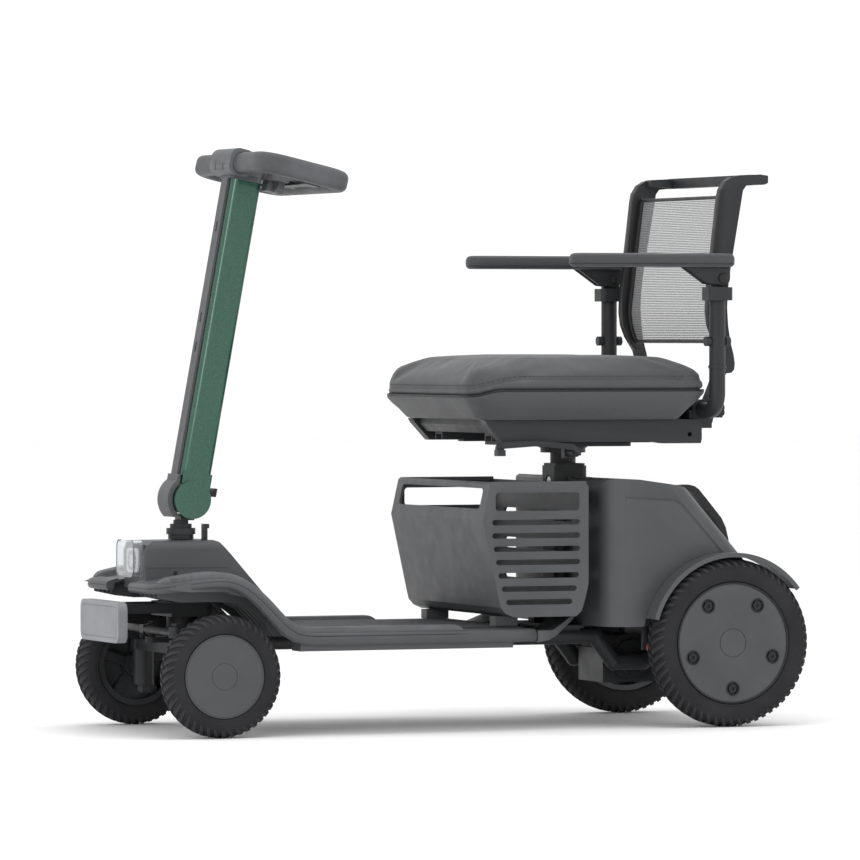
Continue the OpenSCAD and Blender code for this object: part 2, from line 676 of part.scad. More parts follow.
module rear_bolts() for (i = [0:rim_bolts - 1]) rotate(i * 360 / rim_bolts - 90) translate([rim_bolt_pcd / 2, 0, 0]) {
  translate([0, 0, 4]) cylinder(r = 4, h = 14);
  difference() {
    translate([0, 0, 16.2]) cylinder(r = 7, h = 4.6);
    translate([0, 0, 18.6]) cylinder(r = 3.4, h = 4, $fn = 6);
  }
}

module front_tyre_left() color(rubber) at_front(-1) tyre(front_r, front_rim_d / 2, front_tyre_w);
module front_tyre_right() color(rubber) at_front(1) tyre(front_r, front_rim_d / 2, front_tyre_w);
module front_rim_left() color(dark) at_front(-1) front_rim();
module front_rim_right() color(dark) at_front(1) front_rim();
module front_cap_left() color(charcoal) at_front(-1) front_cap();
module front_cap_right() color(charcoal) at_front(1) front_cap();
module rear_tyre_left() color(rubber) at_rear(-1) tyre(rear_r, rear_rim_d / 2, rear_tyre_w);
module rear_tyre_right() color(rubber) at_rear(1) tyre(rear_r, rear_rim_d / 2, rear_tyre_w);
module rear_rim_left() color(charcoal) at_rear(-1) rear_rim();
module rear_rim_right() color(charcoal) at_rear(1) rear_rim();
module rear_bolts_left() color(steel) at_rear(-1) rear_bolts();
module rear_bolts_right() color(steel) at_rear(1) rear_bolts();

// ---- seat ----
module seat_post() color(steel) {
  difference() {
    post(px, 0, 210, 456, seat_post_d / 2);
    for (z = [255, 305, 355]) xbar(0, z, px - 30, px + 30, 5);
    post(px, 0, 200, 445, seat_post_d / 2 - 3.5);
  }
  post(px, 0, 454, 462, 38);
}

module swivel_base() color(dark) difference() {
  union() {
    post(px, 0, 462.3, 466, 41);
    translate([px - 10, 0, 466]) linear_extrude(6) rrect(170, 250, 14);
    both() box(100, 365, -122, -98, 472, 484);
    // bracket of the swivel lever
    box(180, 200, -150, -118, 466, 472);
    box(180, 200, -150, -137, 447, 466.1);
  }
  ybar(190, 457, -160, -130, 5 + run);
  // notches of the swivel lock, one every 45 degrees
  for (a = [0:45:315]) translate([px, 0, 460]) rotate(a) translate([36, 0, 0]) cylinder(r = 3, h = 5, $fn = 24);
}

module seat_frame() color(dark) difference() {
  union() {
    // slide channels over the base rails
    both() { box(60, 400, -126, -94, 484.3, 492); box(60, 400, -126, -122.5, 476, 485); box(60, 400, -97.5, -94, 476, 485); }
    // side members, cut back at the front
    both() wall(-172, -150) polygon([[28, 511], [32, 504], [60, 474], [330, 474], [350, 471], [418, 471], [420, 478], [420, 507], [416, 511]]);
    // front and rear crosspieces and tray
    wall(-150.1, 150.1) polygon([[40, 511], [40, 502], [52, 489], [66, 489], [66, 511]]);
    box(384, 405, -150, 150, 486, 511);
    box(65.9, 384.1, -151, 151, 500, 511);
    both() box(60, 400, -122, -98, 491.9, 500.1);
    // sockets of the armrest tubes
    both() ybar(ax, 526, -166, -60, 18);
    both() box(400, 441, -166, -64, 496, 526);
    // ears for the backrest pivots
    both() wall(-168, -150) union() {
      polygon([[405, 505], [441, 505], [450, 540], [460, 576], [472.5, 598], [451, 598], [442, 572], [430, 544], [405, 540]]);
      translate([462, 600]) circle(11);
    }
  }
  both() ybar(ax, 526, -170, -50, arm_tube_d / 2 + run);
  both() ybar(462, 600, -175, -145, 5 + run);
  // threaded holes of the thumb knobs
  both() xbar(-146, 526, 430, 450, 4 + run);
  // round holes near the rear end of each side member
  both() ybar(398, 486, -180, -140, 4);
}

module seat_outline(inset, z, rise = 0) translate([-10 + seat_depth / 2, 0, z]) linear_extrude(0.2 + rise)
  rrect(seat_depth - 2 * inset, 2 * seat_half_w - 2 * inset, 62 - inset * 0.6, $fn = 48);

module seat_shell() color(seat_grey) difference() {
  union() {
    hull() {
      translate([12, 0, 0]) seat_outline(38, 511.3);
      translate([3, 0, 0]) seat_outline(14, 524);
    }
    hull() { translate([3, 0, 0]) seat_outline(14, 524); seat_outline(1, 553); seat_outline(3, 556.6); }
  }
  box(403, 420, -170, 170, 508, 547);
}

module seat_cushion() color(seat_grey) union() {
  hull() { seat_outline(2, 557); seat_outline(0.5, 562); seat_outline(1.5, 573); }
  hull() {
    seat_outline(3, 573.1);
    seat_outline(5, 582);
    translate([-10 + seat_depth / 2, 0, 598]) linear_extrude(0.2) rrect(seat_depth - 36, 2 * seat_half_w - 40, 50, $fn = 48);
    translate([-10 + seat_depth / 2 - 12, 0, 608]) linear_extrude(0.2) rrect(seat_depth - 96, 2 * seat_half_w - 90, 50, $fn = 48);
    translate([110, 0, 614]) linear_extrude(0.2) rrect(130, 270, 50, $fn = 48);
  }
}

module seat_lever() color(dark) {
  ybar(190, 457, -180, -134, 5);
  wall(-182, -174.3) polygon([[44, 452], [48, 452], [60, 464], [120, 468], [182, 461], [196, 452], [198, 462], [182, 471],
    [118, 477], [52, 475], [46, 468]]);
  ybar(190, 457, -176, -151, 7.5);
  box(44, 58, -190, -174.3, 452, 462);
}

module arm_post() {
  r = arm_tube_d / 2;
  difference() {
    union() {
      // J tube: along the socket, round the bend and up
      ybar(ax, 526, -arm_y + 30, -72, r);
      translate([ax, -arm_y + 30, 556]) rotate([0, 90, 0]) rotate([0, 0, -90])
        rotate_extrude(angle = 90) translate([30, 0]) circle(r);
      post(ax, -arm_y, 556, 731, r);
      post(ax, -arm_y, 596, 601, r + 1.5);
      // clamp collar
      translate([ax, -arm_y, 709]) linear_extrude(22) rrect(43, 40, 8);
      // tongue for the pad's pivot
      wall(-arm_y - 5, -arm_y + 5) { translate([429, 746]) circle(12); translate([411, 728]) square([30, 18]); }
      // cross bolt with round heads
      xbar(-arm_y, 641, ax - 22, ax + 22, 6);
      xbar(-arm_y, 641, ax - 22, ax - 14, 8);
      xbar(-arm_y, 641, ax + 14, ax + 22, 8);
    }
    ybar(429, 746, -arm_y - 20, -arm_y + 20, 5 + run);
  }
}
module arm_post_left() color(dark) arm_post();
module arm_post_right() color(dark) mirror([0, 1, 0]) arm_post();

module arm_pad() {
  x1 = 455; x0 = x1 - arm_pad_l; w = arm_pad_w;
  // upholstered pad with half-round ends
  translate([0, -arm_y, 765]) linear_extrude(19) {
    translate([x0 + w / 2, 0]) circle(w / 2);
    translate([x0 + w / 2, -w / 2]) square([x1 - x0 - w / 2 - 10, w]);
    translate([x1 - 10, -w / 2 + 10]) square([10, w - 20]);
    for (j = [-1, 1]) translate([x1 - 10, j * (w / 2 - 10)]) circle(10);
  }
  translate([0, -arm_y, 783.9]) linear_extrude(3.1) {
    translate([x0 + w / 2, 0]) circle(w / 2 - 3);
    translate([x0 + w / 2, -w / 2 + 3]) square([x1 - x0 - w / 2 - 10, w - 6]);
  }
  // cheeks on each side of the post's tongue
  for (j = [-1, 1]) translate([0, -arm_y + j * 9, 0]) wall(-3.5, 3.5) difference() {
    union() {
      translate([429, 746]) circle(13);
      polygon([[362, 766], [401, 736], [429, 734], [442, 746], [442, 766]]);
    }
  }
  ybar(429, 746, -arm_y - 16, -arm_y + 16, 5);
  ybar(429, 746, -arm_y - 16, -arm_y - 12, 9);
}
module arm_pad_left() color(charcoal) arm_pad();
module arm_pad_right() color(charcoal) mirror([0, 1, 0]) arm_pad();

module arm_knob() {
  xbar(-146, 526, 437.5, 455, 4);
  difference() {
    xbar(-146, 526, 452, 468, 13);
    for (a = [0:60:300]) translate([451, -146 + 15 * cos(a), 526 + 15 * sin(a)]) rotate([0, 90, 0]) cylinder(r = 4, h = 20);
  }
}
module arm_knob_left() color("#1c1c1e") arm_knob();
module arm_knob_right() color("#1c1c1e") mirror([0, 1, 0]) arm_knob();

// Front edge of the backrest's side members, from the bottom up, with the forward lumbar curve
back_front = [[452, 593], [455, 607], [450, 626], [436, 648], [428, 668], [425, 690], [426, 720], [429, 750],
  [433, 780], [437, 812], [441, 845], [445, 880], [448, 895], [456, 908], [468, 915]];
// Its rear edge, from the top down
back_rear = [[512, 903], [494, 901], [488, 893], [482, 860], [476, 828], [470, 792], [463, 750], [460, 722],
  [459, 696], [461, 666], [465, 640], [471, 618], [473, 604], [472, 594], [467, 588.5], [460, 587.5]];
module backrest_frame() color(dark) {
  both() wall(-188, -172) polygon(concat(back_front, [[480, 918], [520, 920], [534, 918], [534, 906], [528, 903]], back_rear));
  // grab bar across the top
  slab(511, 534) translate([0, 911.5]) rrect(350, 17, 8);
  slab(470, 512) union() { for (j = [-1, 1]) translate([j * 166, 911]) square([26, 12], center = true); }
  // pivot pins
  both() ybar(462, 600, -180, -150.3, 5);
}

module backrest_mesh() color(mesh_grey, 0.6) difference() {
  wall(-171.7, 171.7) polygon([for (s = [0, 1], i = [0:12]) let (z = s == 0 ? 642 + i * 20 : 882 - i * 20)
    [mesh_x(z) + (s == 0 ? 0 : 2.4), z]]);
}
function mesh_x(z) = 434.5 + (z < 694 ? pow((694 - z) / 52, 2) * 12 : (z - 694) * 0.112 + pow((z - 694) / 200, 2) * 3);

frame_left();
frame_right();
front_axle();
deck_pan();
deck_mat();
side_rail_left();
side_rail_right();
front_shroud();
headlight_body();
headlight_lens();
front_bumper();
basket();
seat_tower();
rear_cover();
carry_handle();
battery_pack();
rear_fender_left();
rear_fender_right();
transaxle();
reflectors();
steering_stem();
tiller_column();
tiller_cover();
handle_hub();
handle_loop();
console();
drive_lever();
horn_button();
speed_dial();
tilt_latch();
base_latch();
knuckle_left();
knuckle_right();
tie_rod();
front_tyre_left();
front_rim_left();
front_cap_left();
front_tyre_right();
front_rim_right();
front_cap_right();
rear_tyre_left();
rear_rim_left();
rear_bolts_left();
rear_tyre_right();
rear_rim_right();
rear_bolts_right();
seat_post();
swivel_base();
seat_frame();
seat_shell();
seat_cushion();
seat_lever();
arm_post_left();
arm_post_right();
arm_pad_left();
arm_pad_right();
arm_knob_left();
arm_knob_right();
backrest_frame();
backrest_mesh();
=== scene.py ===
import math

import bmesh
import bpy
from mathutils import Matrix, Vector, noise
from mathutils.bvhtree import BVHTree


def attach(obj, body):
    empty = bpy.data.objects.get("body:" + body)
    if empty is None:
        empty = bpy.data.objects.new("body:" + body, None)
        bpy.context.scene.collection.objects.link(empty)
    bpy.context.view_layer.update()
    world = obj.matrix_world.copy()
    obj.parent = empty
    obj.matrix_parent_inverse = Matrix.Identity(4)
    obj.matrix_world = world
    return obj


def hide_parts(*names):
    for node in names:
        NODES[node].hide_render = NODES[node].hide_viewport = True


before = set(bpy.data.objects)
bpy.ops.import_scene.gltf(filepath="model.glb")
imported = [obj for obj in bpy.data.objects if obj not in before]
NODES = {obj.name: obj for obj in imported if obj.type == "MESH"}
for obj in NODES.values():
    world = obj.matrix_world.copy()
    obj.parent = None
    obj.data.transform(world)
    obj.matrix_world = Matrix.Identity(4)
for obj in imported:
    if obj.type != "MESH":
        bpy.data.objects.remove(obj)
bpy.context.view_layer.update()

MM = 0.001

# main sizes of the scooter, mm
FRONT_X, FRONT_R, FRONT_Y = -450, 100, 211
REAR_X, REAR_R, REAR_Y = 444, 140, 223
REAR_DISC_Y = REAR_Y + 22.4      # just past the outer face of the rear wheel's disc
# radius of the black ring painted on each rear disc as the shade of the groove between disc and tyre
GROOVE_SHADE_R = 99.5
# radius of the black rings painted round each rear bolt as the shade of its recess
BOLT_RECESS_SHADE_R = 11.2
BOLT_CIRCLE_R = 76


def clamp01(t):
    return max(0.0, min(1.0, t))


def ease(t):
    """0 to 1 with a soft start and end."""
    t = clamp01(t)
    return t * t * (3 - 2 * t)


# ---------------------------------------------------------------- camera
def make_camera():
    """The photograph's viewing angle: low, from the front left, through a long lens."""
    yaw, pitch = 0.382, math.radians(0.83)
    look = Vector((math.sin(yaw) * math.cos(pitch), math.cos(yaw) * math.cos(pitch), -math.sin(pitch)))
    cam = bpy.data.cameras.new("camera")
    cam.lens, cam.sensor_width = 278.8, 36.0
    cam.clip_end = 100
    o = bpy.data.objects.new("camera", cam)
    bpy.context.collection.objects.link(o)
    o.location = (-4.146, -10.320, 0.654)
    o.rotation_euler = look.to_track_quat("-Z", "Y").to_euler()
    bpy.context.scene.camera = o


make_camera()


# ---------------------------------------------------------------- materials
def nodes_of(name):
    m = bpy.data.materials.new(name)
    m.use_nodes = True
    nt = m.node_tree
    return m, nt, nt.nodes["Principled BSDF"]


def link(nt, a, b):
    nt.links.new(a, b)


def coords(nt, scale=(1, 1, 1), rot=(0, 0, 0)):
    t = nt.nodes.new("ShaderNodeTexCoord")
    mp = nt.nodes.new("ShaderNodeMapping")
    mp.inputs["Scale"].default_value = scale
    mp.inputs["Rotation"].default_value = rot
    link(nt, t.outputs["Object"], mp.inputs["Vector"])
    return mp.outputs["Vector"]


def noise_tex(nt, vec, scale, detail=3.0, rough=0.55):
    n = nt.nodes.new("ShaderNodeTexNoise")
    n.inputs["Scale"].default_value = scale
    n.inputs["Detail"].default_value = detail
    n.inputs["Roughness"].default_value = rough
    link(nt, vec, n.inputs["Vector"])
    return n.outputs["Fac"]


def ramp(nt, fac, *stops):
    r = nt.nodes.new("ShaderNodeValToRGB")
    e = r.color_ramp.elements
    while len(e) < len(stops):
        e.new(0.5)
    for k, (p, c) in enumerate(stops):
        e[k].position = p
        e[k].color = (c, c, c, 1) if not hasattr(c, "__len__") else (*c, 1)
    link(nt, fac, r.inputs["Fac"])
    return r.outputs["Color"]


def mix(nt, fac, a, b, kind="MIX"):
    m = nt.nodes.new("ShaderNodeMix")
    m.data_type, m.blend_type = "RGBA", kind
    for sock, v in ((m.inputs[0], fac), (m.inputs[6], a), (m.inputs[7], b)):
        if isinstance(v, bpy.types.NodeSocket):
            link(nt, v, sock)
        elif hasattr(v, "__len__"):
            sock.default_value = (*v, 1)
        else:
            sock.default_value = v
    return m.outputs[2]


def bump(nt, shader, height, dist, strength=1.0, after=None):
    b = nt.nodes.new("ShaderNodeBump")
    b.inputs["Strength"].default_value = strength
    b.inputs["Distance"].default_value = dist
    link(nt, height, b.inputs["Height"])
    if after is not None:
        link(nt, after, b.inputs["Normal"])
    link(nt, b.outputs["Normal"], shader.inputs["Normal"])
    return b.outputs["Normal"]


def edge_mask(nt):
    """Brighter where the surface turns a sharp outside corner."""
    g = nt.nodes.new("ShaderNodeNewGeometry")
    return ramp(nt, g.outputs["Pointiness"], (0.52, 0.0), (0.60, 1.0))


def tint(c, k):
    return tuple(min(1.0, v * k) for v in c)


def moulded(name, color, rough=0.46, grain=1500, depth=0.00012, wear=0.5, coat=0.0, spec=0.26):
    """Moulded plastic or powder-coated metal: fine spark grain, soft cloudiness, rubbed edges."""
    m, nt, s = nodes_of(name)
    v = coords(nt)
    cloud = noise_tex(nt, v, 9, 4)
    fine = noise_tex(nt, v, grain, 2, 0.6)
    base = mix(nt, ramp(nt, cloud, (0.35, 0.0), (0.68, 1.0)), tint(color, 0.90), tint(color, 1.08))
    rub = mix(nt, edge_mask(nt), (0, 0, 0), noise_tex(nt, v, 60, 5), "MULTIPLY")
    rub = mix(nt, wear, (0, 0, 0), edge_mask(nt))
    dust = ramp(nt, noise_tex(nt, v, 160, 6, 0.7), (0.60, 0.0), (0.82, 0.10))
    base = mix(nt, dust, base, tint(color, 2.2))
    base = mix(nt, rub, base, tint(color, 1.5))
    link(nt, base, s.inputs["Base Color"])
    link(nt, ramp(nt, noise_tex(nt, v, 34, 5), (0.3, rough - 0.05), (0.7, rough + 0.07)), s.inputs["Roughness"])
    s.inputs["Specular IOR Level"].default_value = spec
    s.inputs["Coat Weight"].default_value = coat
    s.inputs["Coat Roughness"].default_value = 0.12
    bump(nt, s, fine, depth, 0.6)
    return m


def paint(name, color, flake=(0.35, 0.62, 0.5)):
    """Metallic enamel under clear coat."""
    m, nt, s = nodes_of(name)
    v = coords(nt)
    vor = nt.nodes.new("ShaderNodeTexVoronoi")
    vor.inputs["Scale"].default_value = 2600
    link(nt, v, vor.inputs["Vector"])
    sep = nt.nodes.new("ShaderNodeSeparateColor")
    link(nt, vor.outputs["Color"], sep.inputs["Color"])
    sparkle = ramp(nt, sep.outputs[0], (0.62, 0.0), (1.0, 0.45))
    cloud = mix(nt, ramp(nt, noise_tex(nt, v, 7, 3), (0.3, 0.0), (0.7, 1.0)), tint(color, 0.9), tint(color, 1.1))
    base = mix(nt, sparkle, cloud, flake)
    base = mix(nt, ramp(nt, noise_tex(nt, v, 120, 6, .7), (0.62, 0.0), (0.85, 0.12)), base, tint(color, 1.7))
    link(nt, base, s.inputs["Base Color"])
    s.inputs["Metallic"].default_value = 0.55
    link(nt, ramp(nt, noise_tex(nt, v, 40, 4), (0.3, 0.27), (0.7, 0.36)), s.inputs["Roughness"])
    s.inputs["Coat Weight"].default_value = 0.7
    s.inputs["Coat Roughness"].default_value = 0.06
    bump(nt, s, noise_tex(nt, v, 420, 2), 0.00005, 0.25)
    return m


def rubber(name, color, rough=0.72, grain=800, depth=0.00022):
    m, nt, s = nodes_of(name)
    v = coords(nt)
    base = mix(nt, ramp(nt, noise_tex(nt, v, 14, 5), (0.35, 0.0), (0.7, 1.0)), tint(color, 0.8), tint(color, 1.25))
    base = mix(nt, ramp(nt, noise_tex(nt, v, 210, 6, 0.7), (0.58, 0.0), (0.8, 0.22)), base, tint(color, 2.6))
    base = mix(nt, mix(nt, 0.5, (0, 0, 0), edge_mask(nt)), base, tint(color, 1.9))
    link(nt, base, s.inputs["Base Color"])
    link(nt, ramp(nt, noise_tex(nt, v, 50, 4), (0.3, rough - 0.08), (0.7, rough + 0.08)), s.inputs["Roughness"])
    s.inputs["Specular IOR Level"].default_value = 0.16
    bump(nt, s, noise_tex(nt, v, grain, 4, 0.65), depth, 0.7)
    return m


def leather(name, color, scale=420):
    m, nt, s = nodes_of(name)
    v = coords(nt)
    vor = nt.nodes.new("ShaderNodeTexVoronoi")
    vor.feature = "DISTANCE_TO_EDGE"
    vor.inputs["Scale"].default_value = scale
    link(nt, v, vor.inputs["Vector"])
    cell = ramp(nt, vor.outputs["Distance"], (0.0, 0.0), (0.16, 1.0))
    cloud = ramp(nt, noise_tex(nt, v, 8, 5), (0.3, 0.0), (0.7, 1.0))
    base = mix(nt, cloud, tint(color, 0.92), tint(color, 1.08))
    base = mix(nt, cell, tint(color, 0.78), base)
    link(nt, base, s.inputs["Base Color"])
    link(nt, ramp(nt, noise_tex(nt, v, 24, 4), (0.3, 0.50), (0.7, 0.62)), s.inputs["Roughness"])
    s.inputs["Specular IOR Level"].default_value = 0.26
    s.inputs["Sheen Weight"].default_value = 0.12
    n1 = bump(nt, s, cell, 0.00022, 0.5)
    bump(nt, s, noise_tex(nt, v, 46, 4), 0.0006, 0.35, after=n1)
    return m


def brushed(name, color, rough=0.32, axis=(1, 1, 60)):
    m, nt, s = nodes_of(name)
    v = coords(nt, scale=axis)
    fine = noise_tex(nt, v, 30, 6, 0.7)
    base = mix(nt, fine, tint(color, 0.8), tint(color, 1.15))
    link(nt, base, s.inputs["Base Color"])
    s.inputs["Metallic"].default_value = 1.0
    link(nt, ramp(nt, fine, (0.3, rough - 0.07), (0.7, rough + 0.1)), s.inputs["Roughness"])
    bump(nt, s, fine, 0.00005, 0.4)
    return m


def clear(name):
    m, nt, s = nodes_of(name)
    v = coords(nt)
    s.inputs["Base Color"].default_value = (0.93, 0.95, 0.97, 1)
    s.inputs["Transmission Weight"].default_value = 0.92
    s.inputs["IOR"].default_value = 1.38
    link(nt, ramp(nt, noise_tex(nt, v, 90, 4), (0.3, 0.02), (0.8, 0.09)), s.inputs["Roughness"])
    bump(nt, s, noise_tex(nt, v, 60, 2), 0.0001, 0.2)
    return m


def mesh_cloth(name, color, pitch=0.0029):
    """Open knit: fine level ribs with see-through rows between them, crossed by thin threads."""
    m, nt, s = nodes_of(name)
    t = nt.nodes.new("ShaderNodeTexCoord")
    sep = nt.nodes.new("ShaderNodeSeparateXYZ")
    link(nt, t.outputs["Object"], sep.inputs[0])

    def stripes(sock, step, width):
        a = nt.nodes.new("ShaderNodeMath"); a.operation = "MULTIPLY"
        a.inputs[1].default_value = 2 * math.pi / step
        link(nt, sock, a.inputs[0])
        b = nt.nodes.new("ShaderNodeMath"); b.operation = "SINE"
        link(nt, a.outputs[0], b.inputs[0])
        c = nt.nodes.new("ShaderNodeMapRange")
        c.inputs["From Min"].default_value = -1
        link(nt, b.outputs[0], c.inputs["Value"])
        return ramp(nt, c.outputs[0], (1 - width - 0.1, 0.0), (1 - width + 0.1, 1.0)), c.outputs[0]

    rows, height = stripes(sep.outputs["Z"], pitch, 0.62)
    cols, _ = stripes(sep.outputs["Y"], pitch * 0.8, 0.30)
    solid = mix(nt, 1.0, rows, cols, "LIGHTEN")
    v = coords(nt)
    base = mix(nt, noise_tex(nt, v, 30, 4), tint(color, 0.9), tint(color, 1.1))
    base = mix(nt, noise_tex(nt, v, 900, 2), tint(color, 0.75), base)
    link(nt, base, s.inputs["Base Color"])
    s.inputs["Roughness"].default_value = 0.8
    s.inputs["Sheen Weight"].default_value = 0.2
    link(nt, solid, s.inputs["Alpha"])
    bump(nt, s, height, 0.0005, 0.8)
    return m


CHARCOAL = (0.068, 0.070, 0.074)
DARK = (0.022, 0.023, 0.025)
M = {
    "charcoal": moulded("charcoal_moulding", CHARCOAL, 0.44, wear=0.35),
    "cover": moulded("cover_moulding", (0.064, 0.066, 0.070), 0.40, wear=0.35),
    "bar": rubber("bar_skin", (0.092, 0.094, 0.099), 0.50, 1200, 0.00010),
    "dark": moulded("dark_coat", DARK, 0.42, 900, 0.0002, 0.5),
    "black": moulded("black_moulding", (0.018, 0.018, 0.019), 0.40, 1600, 0.0001, 0.4),
    "satin": moulded("satin_moulding", (0.205, 0.213, 0.228), 0.42, 1500, 0.0001, 0.3),
    "trim": rubber("trim_rubber", (0.10, 0.102, 0.107), 0.58, 1500, 0.0001),
    "green": paint("green_enamel", (0.014, 0.066, 0.042), (0.11, 0.32, 0.23)),
    "tyre": rubber("tyre_rubber", (0.022, 0.022, 0.024), 0.74, 700, 0.0003),
    "mat": rubber("mat_rubber", (0.060, 0.061, 0.064), 0.66, 600, 0.0003),
    "white": moulded("white_reflector", (0.80, 0.81, 0.82), 0.25, 900, 0.00005, 0.0, 0.4),
    "lens": clear("clear_cover"),
    "leather": leather("seat_leatherette", (0.072, 0.074, 0.078)),
    "pad": leather("armrest_skin", (0.058, 0.060, 0.064), 700),
    "cloth": mesh_cloth("back_mesh", (0.24, 0.243, 0.25)),
    "steel": brushed("brushed_steel", (0.42, 0.43, 0.45)),
    "red": moulded("red_reflector_face", (0.50, 0.045, 0.06), 0.2, 300, 0.0002, 0.0, 0.6),
    "button": moulded("button_moulding", (0.40, 0.33, 0.06), 0.35, 1200, 0.0001, 0.2),
    "thread": rubber("thread", (0.030, 0.031, 0.033), 0.8, 3000, 0.0001),
}

NODE_LOOK = {
    "green": ["tiller_column"],
    "satin": ["front_bumper"],
    "mat": ["deck_mat"],
    "white": ["headlight_body"],
    "lens": ["headlight_lens"],
    "steel": [],
    "red": [],
    "button": ["horn_button"],
    "black": ["rear_bolts_left", "rear_bolts_right", "arm_knob_left", "arm_knob_right", "tilt_latch", "base_latch",
              "speed_dial", "battery_pack",
              "carry_handle"],
    "bar": ["handle_loop", "handle_hub", "console"],
    "cover": ["rear_cover", "rear_rim_left", "rear_rim_right", "front_cap_left", "front_cap_right"],
    "dark": ["tie_rod", "seat_post", "frame_left", "frame_right", "front_axle", "seat_tower", "transaxle", "steering_stem",
             "knuckle_left", "knuckle_right", "swivel_base", "seat_frame", "seat_lever", "arm_post_left",
             "arm_post_right", "backrest_frame", "front_rim_left", "front_rim_right", "drive_lever", "reflectors"],
}
look = {n: k for k, names in NODE_LOOK.items() for n in names}
NO_BEVEL = {"headlight_lens", "deck_mat"}
for name, o in NODES.items():
    mat = M[look.get(name, "charcoal")]
    o.data.materials.clear()
    o.data.materials.append(mat)
    if name not in NO_BEVEL:
        d = o.modifiers.new("flat_faces", "DECIMATE")
        d.decimate_type, d.angle_limit = "DISSOLVE", math.radians(1.2)
        b = o.modifiers.new("soft_edges", "BEVEL")
        b.width, b.segments, b.limit_method, b.angle_limit = 0.0011, 2, "ANGLE", math.radians(32)
        b.harden_normals = False
        w = o.modifiers.new("even_shading", "WEIGHTED_NORMAL")
        w.keep_sharp = True


# ---------------------------------------------------------------- mesh helpers
def piece(name, body, mat, verts, faces, smooth=True, angle=40):
    me = bpy.data.meshes.new(name)
    me.from_pydata([tuple(v) for v in verts], [], faces)
    me.validate()
    bm = bmesh.new()
    bm.from_mesh(me)
    bmesh.ops.recalc_face_normals(bm, faces=bm.faces)
    bm.to_mesh(me)
    bm.free()
    o = bpy.data.objects.new(name, me)
    bpy.context.collection.objects.link(o)
    return dress(o, body, mat, smooth, angle)


def dress(o, body, mat, smooth=True, angle=40):
    o.data.materials.clear()
    o.data.materials.append(mat)
    if smooth:
        o.data.shade_smooth()
        o.data.set_sharp_from_angle(angle=math.radians(angle))
    if body:
        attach(o, body)
    return o


def loft(rings, closed=True, caps=True):
    """Vertices and faces through rings that all have the same number of points."""
    n = len(rings[0])
    verts = [p for r in rings for p in r]
    faces = []
    for k in range(len(rings) - 1):
        for i in range(n if closed else n - 1):
            a, b = k * n + i, k * n + (i + 1) % n
            faces.append((a, b, b + n, a + n))
    if caps:
        faces.append(tuple(range(n))[::-1])
        faces.append(tuple(range((len(rings) - 1) * n, len(rings) * n)))
    return verts, faces


def rounded_rect(cx, cy, w, h, r, n=10):
    pts = []
    for sx, sy, a0 in ((1, 1, 0), (-1, 1, 90), (-1, -1, 180), (1, -1, 270)):
        for i in range(n + 1):
            a = math.radians(a0 + 90 * i / n)
            pts.append((cx + sx * (w / 2 - r) + r * math.cos(a), cy + sy * (h / 2 - r) + r * math.sin(a)))
    return pts


def prism(name, body, mat, pts, plane, d0, d1, bevel=0.002, segs=3, angle=50):
    """A flat outline given thickness, with every edge rounded. plane is 'xz' (thick in y), 'xy' or 'yz'."""
    put = {"xz": lambda p, d: (p[0], d, p[1]), "xy": lambda p, d: (p[0], p[1], d), "yz": lambda p, d: (d, p[0], p[1])}[plane]
    bm = bmesh.new()
    lo = [bm.verts.new(put(p, d0)) for p in pts]
    hi = [bm.verts.new(put(p, d1)) for p in pts]
    n = len(pts)
    bm.faces.new(lo)
    bm.faces.new(hi[::-1])
    for i in range(n):
        bm.faces.new((lo[i], hi[i], hi[(i + 1) % n], lo[(i + 1) % n]))
    bmesh.ops.recalc_face_normals(bm, faces=bm.faces)
    if bevel:
        sharp = [e for e in bm.edges if e.calc_face_angle(0) > math.radians(28)]
        bmesh.ops.bevel(bm, geom=sharp, offset=bevel, segments=segs, profile=0.5, affect="EDGES", clamp_overlap=True)
    me = bpy.data.meshes.new(name)
    bm.to_mesh(me)
    bm.free()
    o = bpy.data.objects.new(name, me)
    bpy.context.collection.objects.link(o)
    return dress(o, body, mat, True, angle)


def line_piece(name, body, mat, pts, radius, closed=False, res=3):
    cu = bpy.data.curves.new(name, "CURVE")
    cu.dimensions, cu.bevel_depth, cu.bevel_resolution = "3D", radius, res
    cu.use_fill_caps = True
    for run in (pts if isinstance(pts[0][0], (list, tuple, Vector)) else [pts]):
        sp = cu.splines.new("POLY")
        sp.points.add(len(run) - 1)
        for q, p in zip(sp.points, run):
            q.co = (*p, 1)
        sp.use_cyclic_u = closed
    tmp = bpy.data.objects.new(name, cu)
    bpy.context.collection.objects.link(tmp)
    bpy.context.view_layer.update()
    me = bpy.data.meshes.new_from_object(tmp.evaluated_get(bpy.context.evaluated_depsgraph_get()))
    bpy.data.objects.remove(tmp)
    o = bpy.data.objects.new(name, me)
    bpy.context.collection.objects.link(o)
    return dress(o, body, mat, True, 60)


def join(parts):
    """One piece from several loose ones, before they ride."""
    verts, faces = [], []
    for v, f in parts:
        k = len(verts)
        verts += v
        faces += [tuple(i + k for i in g) for g in f]
    return verts, faces


def disc(center, axis, r, h, n=24, dome=0.0):
    """A small turned head: a short cylinder with a rounded rim."""
    z = Vector(axis).normalized()
    x = z.orthogonal().normalized()
    y = z.cross(x)
    c = Vector(center)
    e = min(h * 0.45, r * 0.3)
    prof = [(r, 0), (r, h - e), (r - e * 0.3, h - e * 0.3), (r - e, h), (r * 0.5, h + dome * 0.8), (0.0001, h + dome)]
    rings = [[c + z * d + (x * math.cos(t) + y * math.sin(t)) * q for t in [2 * math.pi * i / n for i in range(n)]]
             for q, d in prof]
    return loft(rings)


